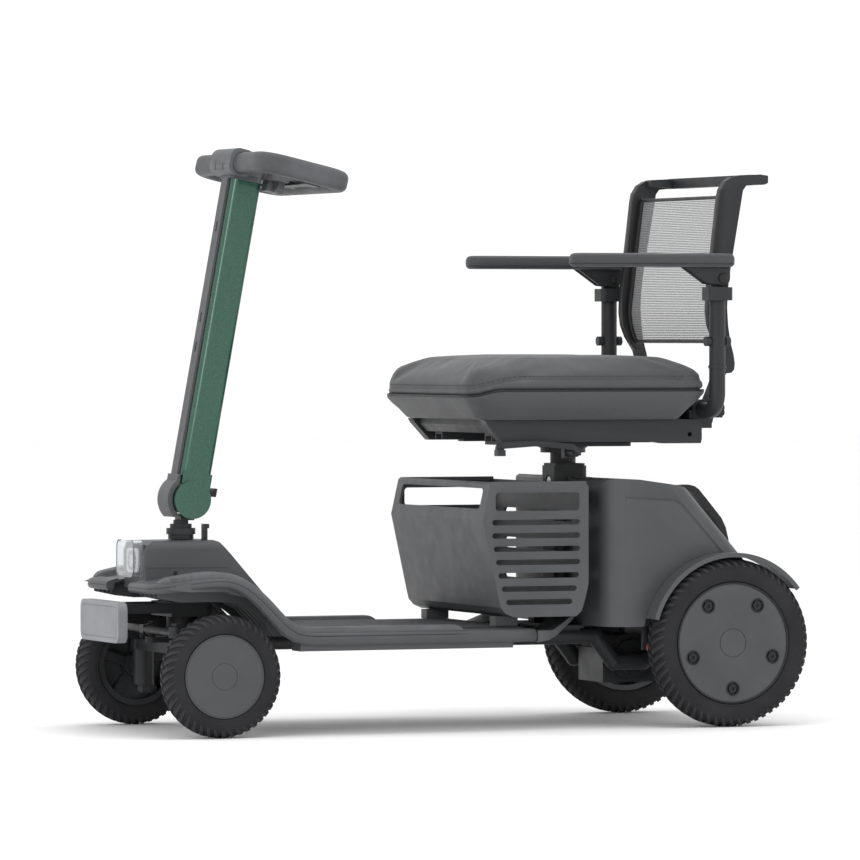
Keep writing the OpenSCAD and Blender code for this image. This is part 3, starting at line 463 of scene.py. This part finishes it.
# ---------------------------------------------------------------- tyres
def tyre(name, body, node, side, cx, cz, R, ri, W, count, lug=3.0):
    """Carcass with bead rings, and a chevron tread that wraps over both shoulders."""
    yc = (FRONT_Y if cx < 0 else REAR_Y) * side
    Rc = R - lug
    h = 19.0

    def section(a):
        s, c = math.sin(a), math.cos(a)
        t = (W / 2 - 0.6) * math.copysign(abs(s) ** 0.75, s)
        r = Rc - h + h * math.copysign(abs(c) ** 0.62, c)
        return t, r

    def at(t, r, phi):
        return ((cx + r * math.sin(phi)) * MM, (yc + t * side) * MM, (cz + r * math.cos(phi)) * MM)

    arcs = [section(math.radians(a)) for a in range(-90, 91, 9)]
    low = [(-W / 2 + 7, ri + .2), (-W / 2 + 3.0, ri + 1.6), (-W / 2 + 1.2, ri + 4),
           (-W / 2 + 1.6, ri + 5.2), (-W / 2 + 0.7, ri + 7.5)]
    prof = low + arcs + [(-t, r) for t, r in low[::-1]]
    n = 120
    rings = [[at(t, r, 2 * math.pi * i / n) for t, r in prof] for i in range(n)]
    verts = [p for g in rings for p in g]
    m = len(prof)
    faces = [(i * m + j, i * m + (j + 1) % m, ((i + 1) % n) * m + (j + 1) % m, ((i + 1) % n) * m + j)
             for i in range(n) for j in range(m)]
    parts = [(verts, faces)]
    pitch = 2 * math.pi / count
    steps = [2, 12, 24, 36, 47, 57, 66, 74]
    for k in range(count):
        for sgn in (-1, 1):
            ring = []
            for j, a in enumerate(steps):
                t, r = section(math.radians(a))
                t2, r2 = section(math.radians(a + 1))
                dt, dr = t2 - t, r2 - r
                ln = math.hypot(dt, dr)
                nt_, nr = -dr / ln, dt / ln
                ph = k * pitch + pitch * (0.95 * a / 74 + (0.5 if sgn > 0 else 0))
                half = pitch * (0.30 - 0.10 * a / 74)
                top = lug if a < 60 else lug * (0.85 - 0.6 * (a - 60) / 14)
                inner = [at(sgn * (t - nt_ * 1.0), r - nr * 1.0, ph + q * half) for q in (-1, 1)]
                outer = [at(sgn * (t + nt_ * top), r + nr * top, ph + q * half * 0.86) for q in (1, -1)]
                ring.append(inner + outer)
            parts.append(loft(ring))
    v, f = join(parts)
    o = piece(name, body, M["tyre"], v, f, angle=35)
    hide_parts(node)
    return o


for sd, s in (("left", -1), ("right", 1)):
    tyre(f"front_tread_{sd}", f"front_wheel_{sd}", f"front_tyre_{sd}", s, FRONT_X, FRONT_R, FRONT_R, 68, 50, 44, 2.6)
    tyre(f"rear_tread_{sd}", f"rear_wheel_{sd}", f"rear_tyre_{sd}", s, REAR_X, REAR_R, REAR_R, 101, 53, 58, 3.0)


# ---------------------------------------------------------------- seat
SEAT_X0, SEAT_X1, SEAT_W = -10, 416, 450
SEAT_CX = (SEAT_X0 + SEAT_X1) / 2
SEAT_FRONT_R, SEAT_REAR_R = 62, 36


def seat_ring(z, front, side, rear, n=12, rise=None):
    """A level outline of the seat with its own inset at the front, sides and rear; rise(x, y) lifts it locally."""
    x0, x1, w = SEAT_X0 + front, SEAT_X1 - rear, SEAT_W / 2 - side
    out = []
    for sx, sy, a0 in ((1, 1, 0), (-1, 1, 90), (-1, -1, 180), (1, -1, 270)):
        r = max(16, (SEAT_REAR_R if sx > 0 else SEAT_FRONT_R) - 0.5 * side)
        cx, cy = (x1 - r if sx > 0 else x0 + r), sy * (w - r)
        for i in range(n + 1):
            a = math.radians(a0 + 90 * i / n)
            x, y = cx + r * math.cos(a), cy + r * math.sin(a)
            out.append((x * MM, y * MM, (z + (rise(x, y) if rise else 0)) * MM))
    return out


def seam_low(x, y):
    """The lower seam sits lower round the front and steps up along the sides."""
    return 9.5 * ease((x + 6) / 46) - 6.5


def bvh_of(o):
    bm = bmesh.new()
    bm.from_mesh(o.data)
    t = BVHTree.FromBMesh(bm)
    bm.free()
    return t


def wrap(bvh, zfun, n=220, out=0.0004):
    """A closed line round the seat, lying on its surface, at the height zfun(direction)."""
    pts = []
    for i in range(n):
        a = 2 * math.pi * i / n
        d = Vector((math.cos(a), math.sin(a), 0))
        z = zfun(d) * MM
        hit, nrm, _, _ = bvh.ray_cast(Vector((SEAT_CX * MM, 0, z)) + d * 0.5, -d)
        if hit is not None:
            pts.append(hit + nrm * out)
    return pts


def puff(o, pressure, cap, frames=20, voxel=0.005, pin_below=None):
    """Inflates a closed pad with Cloth, keeps each point within cap of where it was, and applies it."""
    bpy.ops.object.select_all(action="DESELECT")
    bpy.context.view_layer.objects.active = o
    o.select_set(True)
    rm = o.modifiers.new("remesh", "REMESH")
    rm.mode, rm.voxel_size, rm.use_smooth_shade = "VOXEL", voxel, True
    bpy.ops.object.modifier_apply(modifier=rm.name)
    start = [v.co.copy() for v in o.data.vertices]
    if pin_below is not None:
        g = o.vertex_groups.new(name="pin")
        for v in o.data.vertices:
            k = max(0.0, min(1.0, (pin_below + 0.012 - v.co.z) / 0.012))
            if k > 0:
                g.add([v.index], k, "REPLACE")
    c = o.modifiers.new("cloth", "CLOTH")
    st = c.settings
    st.quality, st.mass, st.tension_stiffness, st.compression_stiffness = 6, 0.3, 25, 25
    st.bending_stiffness = 6
    st.use_pressure, st.uniform_pressure_force = True, pressure
    st.effector_weights.gravity = 0
    if pin_below is not None:
        st.vertex_group_mass = "pin"
    c.point_cache.frame_start, c.point_cache.frame_end = 1, frames
    sc = bpy.context.scene
    for f in range(1, frames + 1):
        sc.frame_set(f)
    bpy.ops.object.modifier_apply(modifier=c.name)
    sc.frame_set(1)
    for v, s in zip(o.data.vertices, start):
        d = v.co - s
        if d.length > cap:
            v.co = s + d * (cap / d.length)
    o.vertex_groups.clear()
    bm = bmesh.new()
    bm.from_mesh(o.data)
    for _ in range(3):
        bmesh.ops.smooth_vert(bm, verts=bm.verts, factor=0.5, use_axis_x=True, use_axis_y=True, use_axis_z=True)
    bm.to_mesh(o.data)
    bm.free()
    return o


# lower pan: a firm moulding that narrows below the lower seam in long facets
pan_rings = [seat_ring(z, a, b, c, 12, (lambda x, y, k=k: k * seam_low(x, y))) for z, a, b, c, k in
             ((511.4, 34, 40, 44, 0), (513.2, 29, 36, 40, 0), (524, 20, 26, 31, 0), (527, 18, 22, 29, 0),
              (540, 8, 9, 14, 0.5), (551, 2.2, 2.6, 4, 1), (554.5, 1.0, 1.4, 2.6, 1), (556.4, 2.6, 3, 4, 1), (556.8, 8, 8, 9, 1))]
v, f = loft(pan_rings)
pan = piece("seat_pan", "seat", M["leather"], v, f, angle=24)
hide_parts("seat_shell")

cush_rings = [seat_ring(z, i, i, i + 1, 12, (lambda x, y, k=k: k * seam_low(x, y))) for z, i, k in
              ((557.2, 8, 1), (557.9, 4.6, 1), (562, 2.2, 1), (570, 2.6, 0.6), (579, 3.8, 0.2), (588, 7, 0), (596, 15, 0),
               (602, 31, 0), (606, 57, 0), (608, 95, 0), (609.5, 140, 0))]
v, f = loft(cush_rings)
cushion = piece("seat_pad", None, M["leather"], v, f)
puff(cushion, 3.0, 0.009, pin_below=0.559)


def upper_seam(d):
    """The top panel's seam runs lower across the front and rises round the front corners."""
    return 563.5 + 15.5 * ease((math.atan2(abs(d.y), -d.x) - 0.70) / 0.35)


def crease(o, zfun, depth, width):
    for vtx in o.data.vertices:
        d = Vector((vtx.co.x - SEAT_CX * MM, vtx.co.y, 0))
        if d.length < 0.05:
            continue
        d.normalize()
        gap = (vtx.co.z - zfun(d) * MM) / width
        if abs(gap) < 3:
            vtx.co -= d * depth * math.exp(-gap * gap)


for vtx in cushion.data.vertices:
    p = vtx.co
    if p.z > 0.585:
        vtx.co.z += 0.0011 * noise.noise(Vector((p.x * 9, p.y * 9, 2.0)))
crease(cushion, upper_seam, 0.0042, 0.0030)
sub = cushion.modifiers.new("fine", "SUBSURF")
sub.levels = sub.render_levels = 1
bpy.context.view_layer.objects.active = cushion
bpy.ops.object.modifier_apply(modifier=sub.name)
dress(cushion, "seat", M["leather"], True, 80)
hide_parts("seat_cushion")

bvh = bvh_of(cushion)
welt = wrap(bvh, upper_seam, 260, -0.0006)
line_piece("seat_welt", "seat", M["leather"], welt, 0.0014, True)


def stitches(name, offset, n=420):
    top = wrap(bvh, lambda d: upper_seam(d) + offset, n, 0.0002)
    runs = [[top[i], top[(i + 1) % len(top)]] for i in range(0, len(top) - 1, 2)]
    line_piece(name, "seat", M["thread"], runs, 0.00045, False, 1)


stitches("seat_stitch_top", 4.4)
low_welt = [Vector(p) for p in seat_ring(557.0, 2.4, 2.6, 3.6, 24, seam_low)]
line_piece("seat_lower_welt", "seat", M["black"], low_welt, 0.0016, True)


# ---------------------------------------------------------------- backrest
def mesh_x(z):
    return 434.5 + (((694 - z) / 52) ** 2 * 12 if z < 694 else (z - 694) * 0.112 + ((z - 694) / 200) ** 2 * 3)


def back_sheet():
    nz, ny = 44, 24
    verts, faces = [], []
    for k in range(nz + 1):
        z = 637 + (885 - 637) * k / nz
        for j in range(ny + 1):
            u = -1 + 2 * j / ny
            belly = 5.0 * (1 - u * u) * math.sin(math.pi * k / nz)
            verts.append(((mesh_x(z) + 2.2 + belly) * MM, u * 171.4 * MM, z * MM))
    w = ny + 1
    for k in range(nz):
        for j in range(ny):
            a = k * w + j
            faces.append((a, a + 1, a + w + 1, a + w))
    o = piece("back_mesh_sheet", "backrest", M["cloth"], verts, faces, angle=80)
    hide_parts("backrest_mesh")


back_sheet()
for j, sd in ((-1, "left"), (1, "right")):
    zs = [640 + 12 * i for i in range(21)]
    pts = [((mesh_x(z) - 1.5) * MM, z * MM) for z in zs] + [((mesh_x(z) + 5.5) * MM, z * MM) for z in zs[::-1]]
    prism(f"mesh_clip_{sd}", "backrest", M["black"], pts, "xz", j * 160 * MM, j * 171.8 * MM, 0.0012, 2)
    edge = [(449.2, 626), (435.2, 648), (427.2, 668), (424.2, 690), (425.2, 720), (428.2, 750), (432.2, 780), (436.2, 812),
            (440.2, 845), (444.2, 880), (447.2, 895)]
    pts = [(x * MM, z * MM) for x, z in edge] + [((x + 15) * MM, z * MM) for x, z in edge[::-1]]
    prism(f"side_strip_{sd}", "backrest", M["black"], pts, "xz", j * 171.9 * MM, j * 188.7 * MM, 0.0008, 2)
for z, nm in ((641, "bottom"), (882, "top")):
    x = mesh_x(z) + 2.5
    pts = rounded_rect(x * MM, z * MM, 0.004, 0.005, 0.0015, 4)
    prism(f"mesh_hem_{nm}", "backrest", M["black"], pts, "xz", -0.1715, 0.1715, 0, 1)


# ---------------------------------------------------------------- armrests
def arm(sd, s):
    y = 226 * s
    x1, x0, w = 448, 158, 50
    rings = []
    prof = ((764.2, 7), (764.8, 4), (768, 1.3), (772, 0.2), (779, 0.2), (783.5, 1.8), (785.8, 4.6), (786.8, 9), (787, 14))
    for z, i in prof:
        pts = []
        r = w / 2 - i
        for k in range(15):
            a = math.radians(90 + 180 * k / 14)
            pts.append((x0 + w / 2 + r * math.cos(a), y + r * math.sin(a)))
        q = max(2.0, 11 - i)
        for c, a0 in ((-1, 270), (1, 0)):
            for k in range(6):
                a = math.radians(a0 + 90 * k / 5)
                pts.append((x1 - i - q + q * math.cos(a), y + c * (r - q) + q * math.sin(a)))
        rings.append([(px_ * MM, py_ * MM, z * MM) for px_, py_ in pts])
    v, f = loft(rings)
    pad = piece(f"arm_pad_skin_{sd}", f"arm_pad_{sd}", M["pad"], v, f, angle=30)
    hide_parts(f"arm_pad_{sd}")
    # bracket: two cheeks under the rear of the pad
    outline = [(360, 765), (402, 736)] + [(429 + 13 * math.cos(math.radians(a)), 746 + 13 * math.sin(math.radians(a)))
                                         for a in range(-110, 1, 22)] + [(442, 765)]
    for k, d in enumerate((-9, 9)):
        prism(f"arm_cheek_{sd}_{k}", f"arm_pad_{sd}", M["dark"], [(a * MM, b * MM) for a, b in outline], "xz",
              (y + d - 3.5) * MM, (y + d + 3.5) * MM, 0.0016, 3)
    parts = [disc((0.429, (y + s * 12.4) * MM, 0.746), (0, s, 0), 0.0088, 0.0036, 28, 0.0012),
             disc((0.429, (y - s * 12.4) * MM, 0.746), (0, -s, 0), 0.0075, 0.0032, 28, 0.0006)]
    v, f = join(parts)
    piece(f"arm_bolt_{sd}", f"arm_pad_{sd}", M["black"], v, f)
    # seam round the pad's side
    seam = [(px_ * MM, py_ * MM, 0.7692) for px_, py_ in [(p[0] / MM, p[1] / MM) for p in rings[3]]]
    line_piece(f"arm_seam_{sd}", f"arm_pad_{sd}", M["black"], [Vector(p) for p in seam], 0.0005, True, 1)


arm("left", -1)
arm("right", 1)


# ---------------------------------------------------------------- side rails, fenders and shroud
RAIL = [(-560, 244), (-546, 247.6), (-532, 249), (-503, 254), (-480, 257.5), (-458, 259), (-444, 259), (-429, 257), (-405, 247),
        (-375, 224), (-343, 190), (-331, 179.5), (-319, 172.5), (-307, 169.5), (-295, 168.2), (-262, 168), (-200, 168),
        (-120, 168), (-60, 168), (112, 168)]
RIM = [(-555.5, 54), (-555.5, 90), (-555.5, 125), (-554.5, 150), (-548, 170), (-530, 190), (-508, 203), (-484, 213), (-458, 219),
       (-430, 223), (-400, 225), (-340, 225), (-280, 225), (-220, 225), (-150, 225), (-80, 225), (-10, 225), (40, 225),
        (66, 223.5),
       (86, 217.5), (101, 209), (109.7, 203), (109.8, 194), (109.8, 174)]


def smooth_line(p, times=2):
    """Points along a chain of corners, with each corner eased."""
    for _ in range(times):
        q = [p[0]]
        for a, b in zip(p, p[1:]):
            q += [tuple(u * .75 + w * .25 for u, w in zip(a, b)), tuple(u * .25 + w * .75 for u, w in zip(a, b))]
        p = q + [p[-1]]
    return p


RAIL_LINE = smooth_line(RAIL, 3)


def top_z(x):
    for (xa, za), (xb, zb) in zip(RAIL_LINE, RAIL_LINE[1:]):
        if xa <= x <= xb:
            return za + (zb - za) * (x - xa) / (xb - xa)
    return 168.0


def top_normal(x):
    g = (top_z(min(112, x + 3)) - top_z(max(-560, x - 3))) / 6
    return Vector((-g, 0, 1)).normalized()


RIM_LINE = smooth_line(RIM, 2)
BEAD = [(-24, -0.1), (-11, 0), (-6, -0.5), (-3.4, -1.6), (-1.9, -3.4), (-1.4, -5.2), (-2.4, -6.2), (-1.4, -7.2), (-0.4, -8.6),
        (0, -11), (0, -15), (-0.9, -18), (-3, -20.2), (-6, -21), (-11, -21), (-13.4, -19), (-14, -15), (-15.5, -7), (-24, -5)]
SLIM = [(-24, -0.1), (-11, 0), (-6, -0.5), (-3.4, -1.6), (-1.9, -3.4), (-1.2, -5.0), (-2.0, -5.9), (-1.2, -6.8), (-0.4, -7.8),
        (0, -9.2), (0, -11), (-0.9, -13.4), (-3, -15.2), (-6, -16), (-11, -16), (-13.4, -14.6), (-14, -12), (-15.5, -7), (-24, -5)]


PLAIN = [(-24, -0.1), (-11, 0), (-7, -0.3), (-4.6, -1.0), (-2.9, -2.2), (-1.8, -3.7), (-1.1, -5.2), (-0.6, -7.0), (-0.2, -8.8),
         (0, -11), (0, -15), (-0.9, -18), (-3, -20.2), (-6, -21), (-11, -21), (-13.4, -19), (-14, -15), (-15.5, -7), (-24, -5)]


def rim_y(x, default):
    """How far out the rim's line lies at x."""
    return min((p[1] for p, q in zip(RIM_LINE, RIM_LINE[1:]) if min(p[0], q[0]) <= x <= max(p[0], q[0]) and p[1] > 60),
               default=default)


def rail_skin(sd, s):
    rings = []
    for k, (x, y) in enumerate(RIM_LINE):
        xa, ya = RIM_LINE[max(0, k - 1)]
        xb, yb = RIM_LINE[min(len(RIM_LINE) - 1, k + 1)]
        P = Vector((x, y, top_z(x)))
        T = (Vector((xb, yb, top_z(xb))) - Vector((xa, ya, top_z(xa)))).normalized()
        N = top_normal(x)
        O = N.cross(T).normalized()
        if O.y < -0.2 or (abs(O.y) <= 0.2 and O.x * (1 if x > 0 else -1) < 0):
            O = -O
        t = clamp01((x + 420) / 110)
        q = clamp01((x + 34) / 22)
        prof = [(u1 * (1 - t) + (u2 * (1 - q) + u3 * q) * t, v1 * (1 - t) + (v2 * (1 - q) + v3 * q) * t)
                for (u1, v1), (u2, v2), (u3, v3) in zip(SLIM, BEAD, PLAIN)]
        rings.append([P + O * u + N * w for u, w in prof])
    parts = [loft([[(p.x * MM, s * p.y * MM, p.z * MM) for p in r] for r in rings])]
    # sheet between the rim and the hood or the deck
    xs = [x for x, _ in RAIL_LINE if -548 < x < 104]
    sheet = []
    for x in xs:
        yo = rim_y(x, 200) - 10
        yi = 53.5 if x < -318 else 172.4
        yi = min(yi, yo - 4)
        n, z = top_normal(x), top_z(x)
        corners = ((yi, -0.7), (yo, -0.7), (yo, -4.6), (yi, -4.6))
        sheet.append([((x + n.x * h) * MM, s * y * MM, (z + n.z * h) * MM) for y, h in corners])
    parts.append(loft(sheet))
    for y in (204, 192, 176, 158, 138, 116, 94, 72):
        over = [(-540, 241)] + [(q, top_z(q) - 4) for q in (-520, -500, -480, -458, -440, -425, -408)]
        under = [(-396, 232), (-408, 227), (-440, 238 - (y % 7)), (-500, 236)]
        if y < 160:
            over += [(q, top_z(q) - 5) for q in (-390, -372, -352, -338, -328)]
            under = [(-322, 160), (-338, 160), (-352, 180), (-376, 204), (-400, 216), (-440, 218), (-500, 218), (-538, 226)]
        fin = [[(x * MM, s * (y + d) * MM, z * MM) for x, z in over + under] for d in (-1.3, 1.3)]
        parts.append(loft(fin))
    beam = ((172.5, 137.5), (211, 137.5), (213, 140), (213, 150), (172.5, 163))
    parts.append(loft([[(x * MM, s * y * MM, z * MM) for y, z in beam] for x in (-312, 62)]))
    v, f = join(parts)
    o = piece(f"rail_skin_{sd}", "chassis", M["charcoal"], v, f, angle=50)
    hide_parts(f"side_rail_{sd}")
    # grip strip with a raised rim, from the fender down along the deck
    strip = []
    for x in range(-538, -25, 4):
        yo = min(210.5, rim_y(x, 212) - 13)
        yi = min(150 + 34 * ease((x + 425) / 100), yo - 14)
        e = max(0.02, min(1.0, (x + 539) / 16, (-25 - x) / 12))
        n = top_normal(x)
        h, c = 8.5 * math.sqrt(e), 3.4 * math.sqrt(e)
        z = top_z(x)
        outline = ((yi, -0.5), (yi, h - c), (yi + 0.3 * c, h - 0.3 * c), (yi + c, h),
                   (yo - c, h), (yo - 0.3 * c, h - 0.3 * c), (yo, h - c), (yo, -0.5))
        strip.append([((x + n.x * q) * MM, s * y * MM, (z + n.z * q) * MM) for y, q in outline])
    v, f = loft(strip)
    piece(f"rail_trim_{sd}", "chassis", M["trim"], v, f, angle=35)


for sd, s in (("left", -1), ("right", 1)):
    rail_skin(sd, s)


heads = []
for s in (-1, 1):
    for x, z in ((-470, 262), (-345, 226)):
        heads.append(disc((x * MM, s * 0.0519, z * MM), (0, s, 0), 0.0036, 0.0010, 18, 0.0003))
v, f = join(heads)
piece("hood_screws", "chassis", M["black"], v, f)

# plug head of the sleeve's locking bolt
v, f = disc((0.2178, 0, 0.405), (-1, 0, 0), 0.0095, 0.003, 28, 0.0006)
piece("sleeve_bolt", "chassis", M["steel"], v, f)


# display and switch marks on the console
def on_loop(u, v_, w):
    a = math.radians(13.2)
    return ((-338 + u * math.cos(a) + w * math.sin(a)) * MM, v_ * MM, (934 - u * math.sin(a) + w * math.cos(a)) * MM)


def loop_plate(name, mat, u, v_, w, du, dv, r, h):
    base = rounded_rect(u, v_, du, dv, r, 5)
    rings = [[on_loop(a, b, w + q) for a, b in [(u + (a0 - u) * k, v_ + (b0 - v_) * k) for a0, b0 in base]]
             for q, k in ((0, 1), (h * 0.7, 1), (h, 0.94))]
    vv, ff = loft(rings)
    return piece(name, "tiller", mat, vv, ff, angle=35)


loop_plate("display_glass", M["black"], 62, 8, 10.7, 26, 46, 4, 1.2)
for i in range(5):
    loop_plate(f"charge_mark_{i}", M["white"], 56, -8 + i * 8, 11.8, 3.0, 5.2, 0.6, 0.35)
loop_plate("lamp_switch", M["black"], 62, 40, 10.7, 12, 12, 3, 2.2)

# headlamp: black backing, white square and a ring of lamp segments behind the clear cover
def lamp_plate(name, mat, w, h, r, z, x0, x1):
    rings = [[(x, a, b) for a, b in rounded_rect(0, z, w - 2 * k, h - 2 * k, r - k, 6)]
             for x, k in ((x0, 0), (x1 + 0.0004, 0), (x1, 0.0004))]
    v, f = loft(rings)
    return piece(name, "chassis", mat, v, f)


backing = lamp_plate("lamp_backing", M["black"], 0.077, 0.054, 0.010, 0.2855, -0.5215, -0.5232)
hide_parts("headlight_body")
lamp_plate("lamp_panel", M["white"], 0.048, 0.040, 0.008, 0.282, -0.5230, -0.5262)
parts = []
for i in range(10):
    arc = [math.radians(36 * i + 5 + 26 * k / 5) for k in range(6)]
    outline = [(0.0165 * math.cos(a), 0.0165 * math.sin(a)) for a in arc]
    outline += [(0.0112 * math.cos(a), 0.0112 * math.sin(a)) for a in arc[::-1]]
    parts.append(loft([[(x, a, 0.282 + b) for a, b in outline] for x in (-0.5260, -0.5272)]))
v, f = join(parts)
piece("lamp_segments", "chassis", M["satin"], v, f, angle=30)

# red faces of the rear reflectors
v, f = join([disc((0.320, s * 0.1905, 0.133), (0, s, 0), 0.0092, 0.0022, 28, 0.0008) for s in (-1, 1)])
piece("reflector_faces", "chassis", M["red"], v, f)

def ring_points(cx, cz, r, y, step):
    """Points round a circle in a wheel's plane; cx, cz and r in mm, y in metres."""
    return [Vector(((cx + r * math.cos(math.radians(a))) * MM, y, (cz + r * math.sin(math.radians(a))) * MM))
            for a in range(0, 360, step)]


# black ring painted on each rear disc as the shade of its groove, and a black ring painted round each of its bolts as
# the shade of its recess
for s, sd in ((-1, "left"), (1, "right")):
    y = s * REAR_DISC_Y * MM
    ring = ring_points(REAR_X, REAR_R, GROOVE_SHADE_R, y, 4)
    line_piece(f"groove_shade_ring_{sd}", f"rear_wheel_{sd}", M["black"], ring, 0.0019, True)
    for k in range(5):
        a = math.radians(-90 + 72 * k)
        cx, cz = REAR_X + BOLT_CIRCLE_R * math.cos(a), REAR_R + BOLT_CIRCLE_R * math.sin(a)
        # painted shade: a black ring round the bolt where its recess is shaded
        seat = ring_points(cx, cz, BOLT_RECESS_SHADE_R, y - s * 0.0004, 15)
        line_piece(f"bolt_recess_shade_{sd}_{k}", f"rear_wheel_{sd}", M["black"], seat, 0.0011, True)

# valve stems
for body, s, cx, cz, yc, r in (("front_wheel_left", -1, -450, 100, 211, 52), ("front_wheel_right", 1, -450, 100, 211, 52)):
    pts = [Vector(((cx + r * 0.6) * MM, s * (yc - 12) * MM, (cz + r * 0.8) * MM)),
           Vector(((cx + r * 0.6) * MM, s * (yc - 30) * MM, (cz + r * 0.8) * MM))]
    line_piece(f"valve_{body}", body, M["black"], pts, 0.0028, False)


# ---------------------------------------------------------------- floor and light
def studio():
    me = bpy.data.meshes.new("floor")
    me.from_pydata([(-30, -30, 0), (30, -30, 0), (30, 30, 0), (-30, 30, 0)], [], [(0, 1, 2, 3)])
    o = bpy.data.objects.new("floor", me)
    bpy.context.collection.objects.link(o)
    m, nt, s = nodes_of("pale_floor")
    s.inputs["Roughness"].default_value = 0.95
    s.inputs["Specular IOR Level"].default_value = 0.1
    link(nt, mix(nt, noise_tex(nt, coords(nt), 3, 2), (0.93, 0.93, 0.93), (0.95, 0.95, 0.95)), s.inputs["Base Color"])
    me.materials.append(m)
    w = bpy.data.worlds.new("studio")
    bpy.context.scene.world = w
    w.use_nodes = True
    w.node_tree.nodes["Background"].inputs[0].default_value = (1, 1, 1, 1)
    w.node_tree.nodes["Background"].inputs[1].default_value = 1.06

    def lamp(name, loc, target, size, power):
        d = bpy.data.lights.new(name, "AREA")
        d.shape, d.size, d.size_y, d.energy = "RECTANGLE", size[0], size[1], power
        lo = bpy.data.objects.new(name, d)
        bpy.context.collection.objects.link(lo)
        lo.location = loc
        lo.rotation_euler = (Vector(target) - Vector(loc)).to_track_quat("-Z", "Y").to_euler()

    lamp("top", (0.2, -0.4, 4.2), (0, 0, 0.5), (3.0, 2.0), 46)
    lamp("front_left", (-3.6, -3.2, 2.2), (0, 0, 0.5), (1.8, 1.8), 34)
    lamp("rear_left", (3.6, -3.0, 1.6), (0.2, 0, 0.5), (1.4, 2.0), 14)
    bpy.context.scene.view_settings.view_transform = "Standard"
    bpy.context.scene.view_settings.exposure = 0.0


studio()
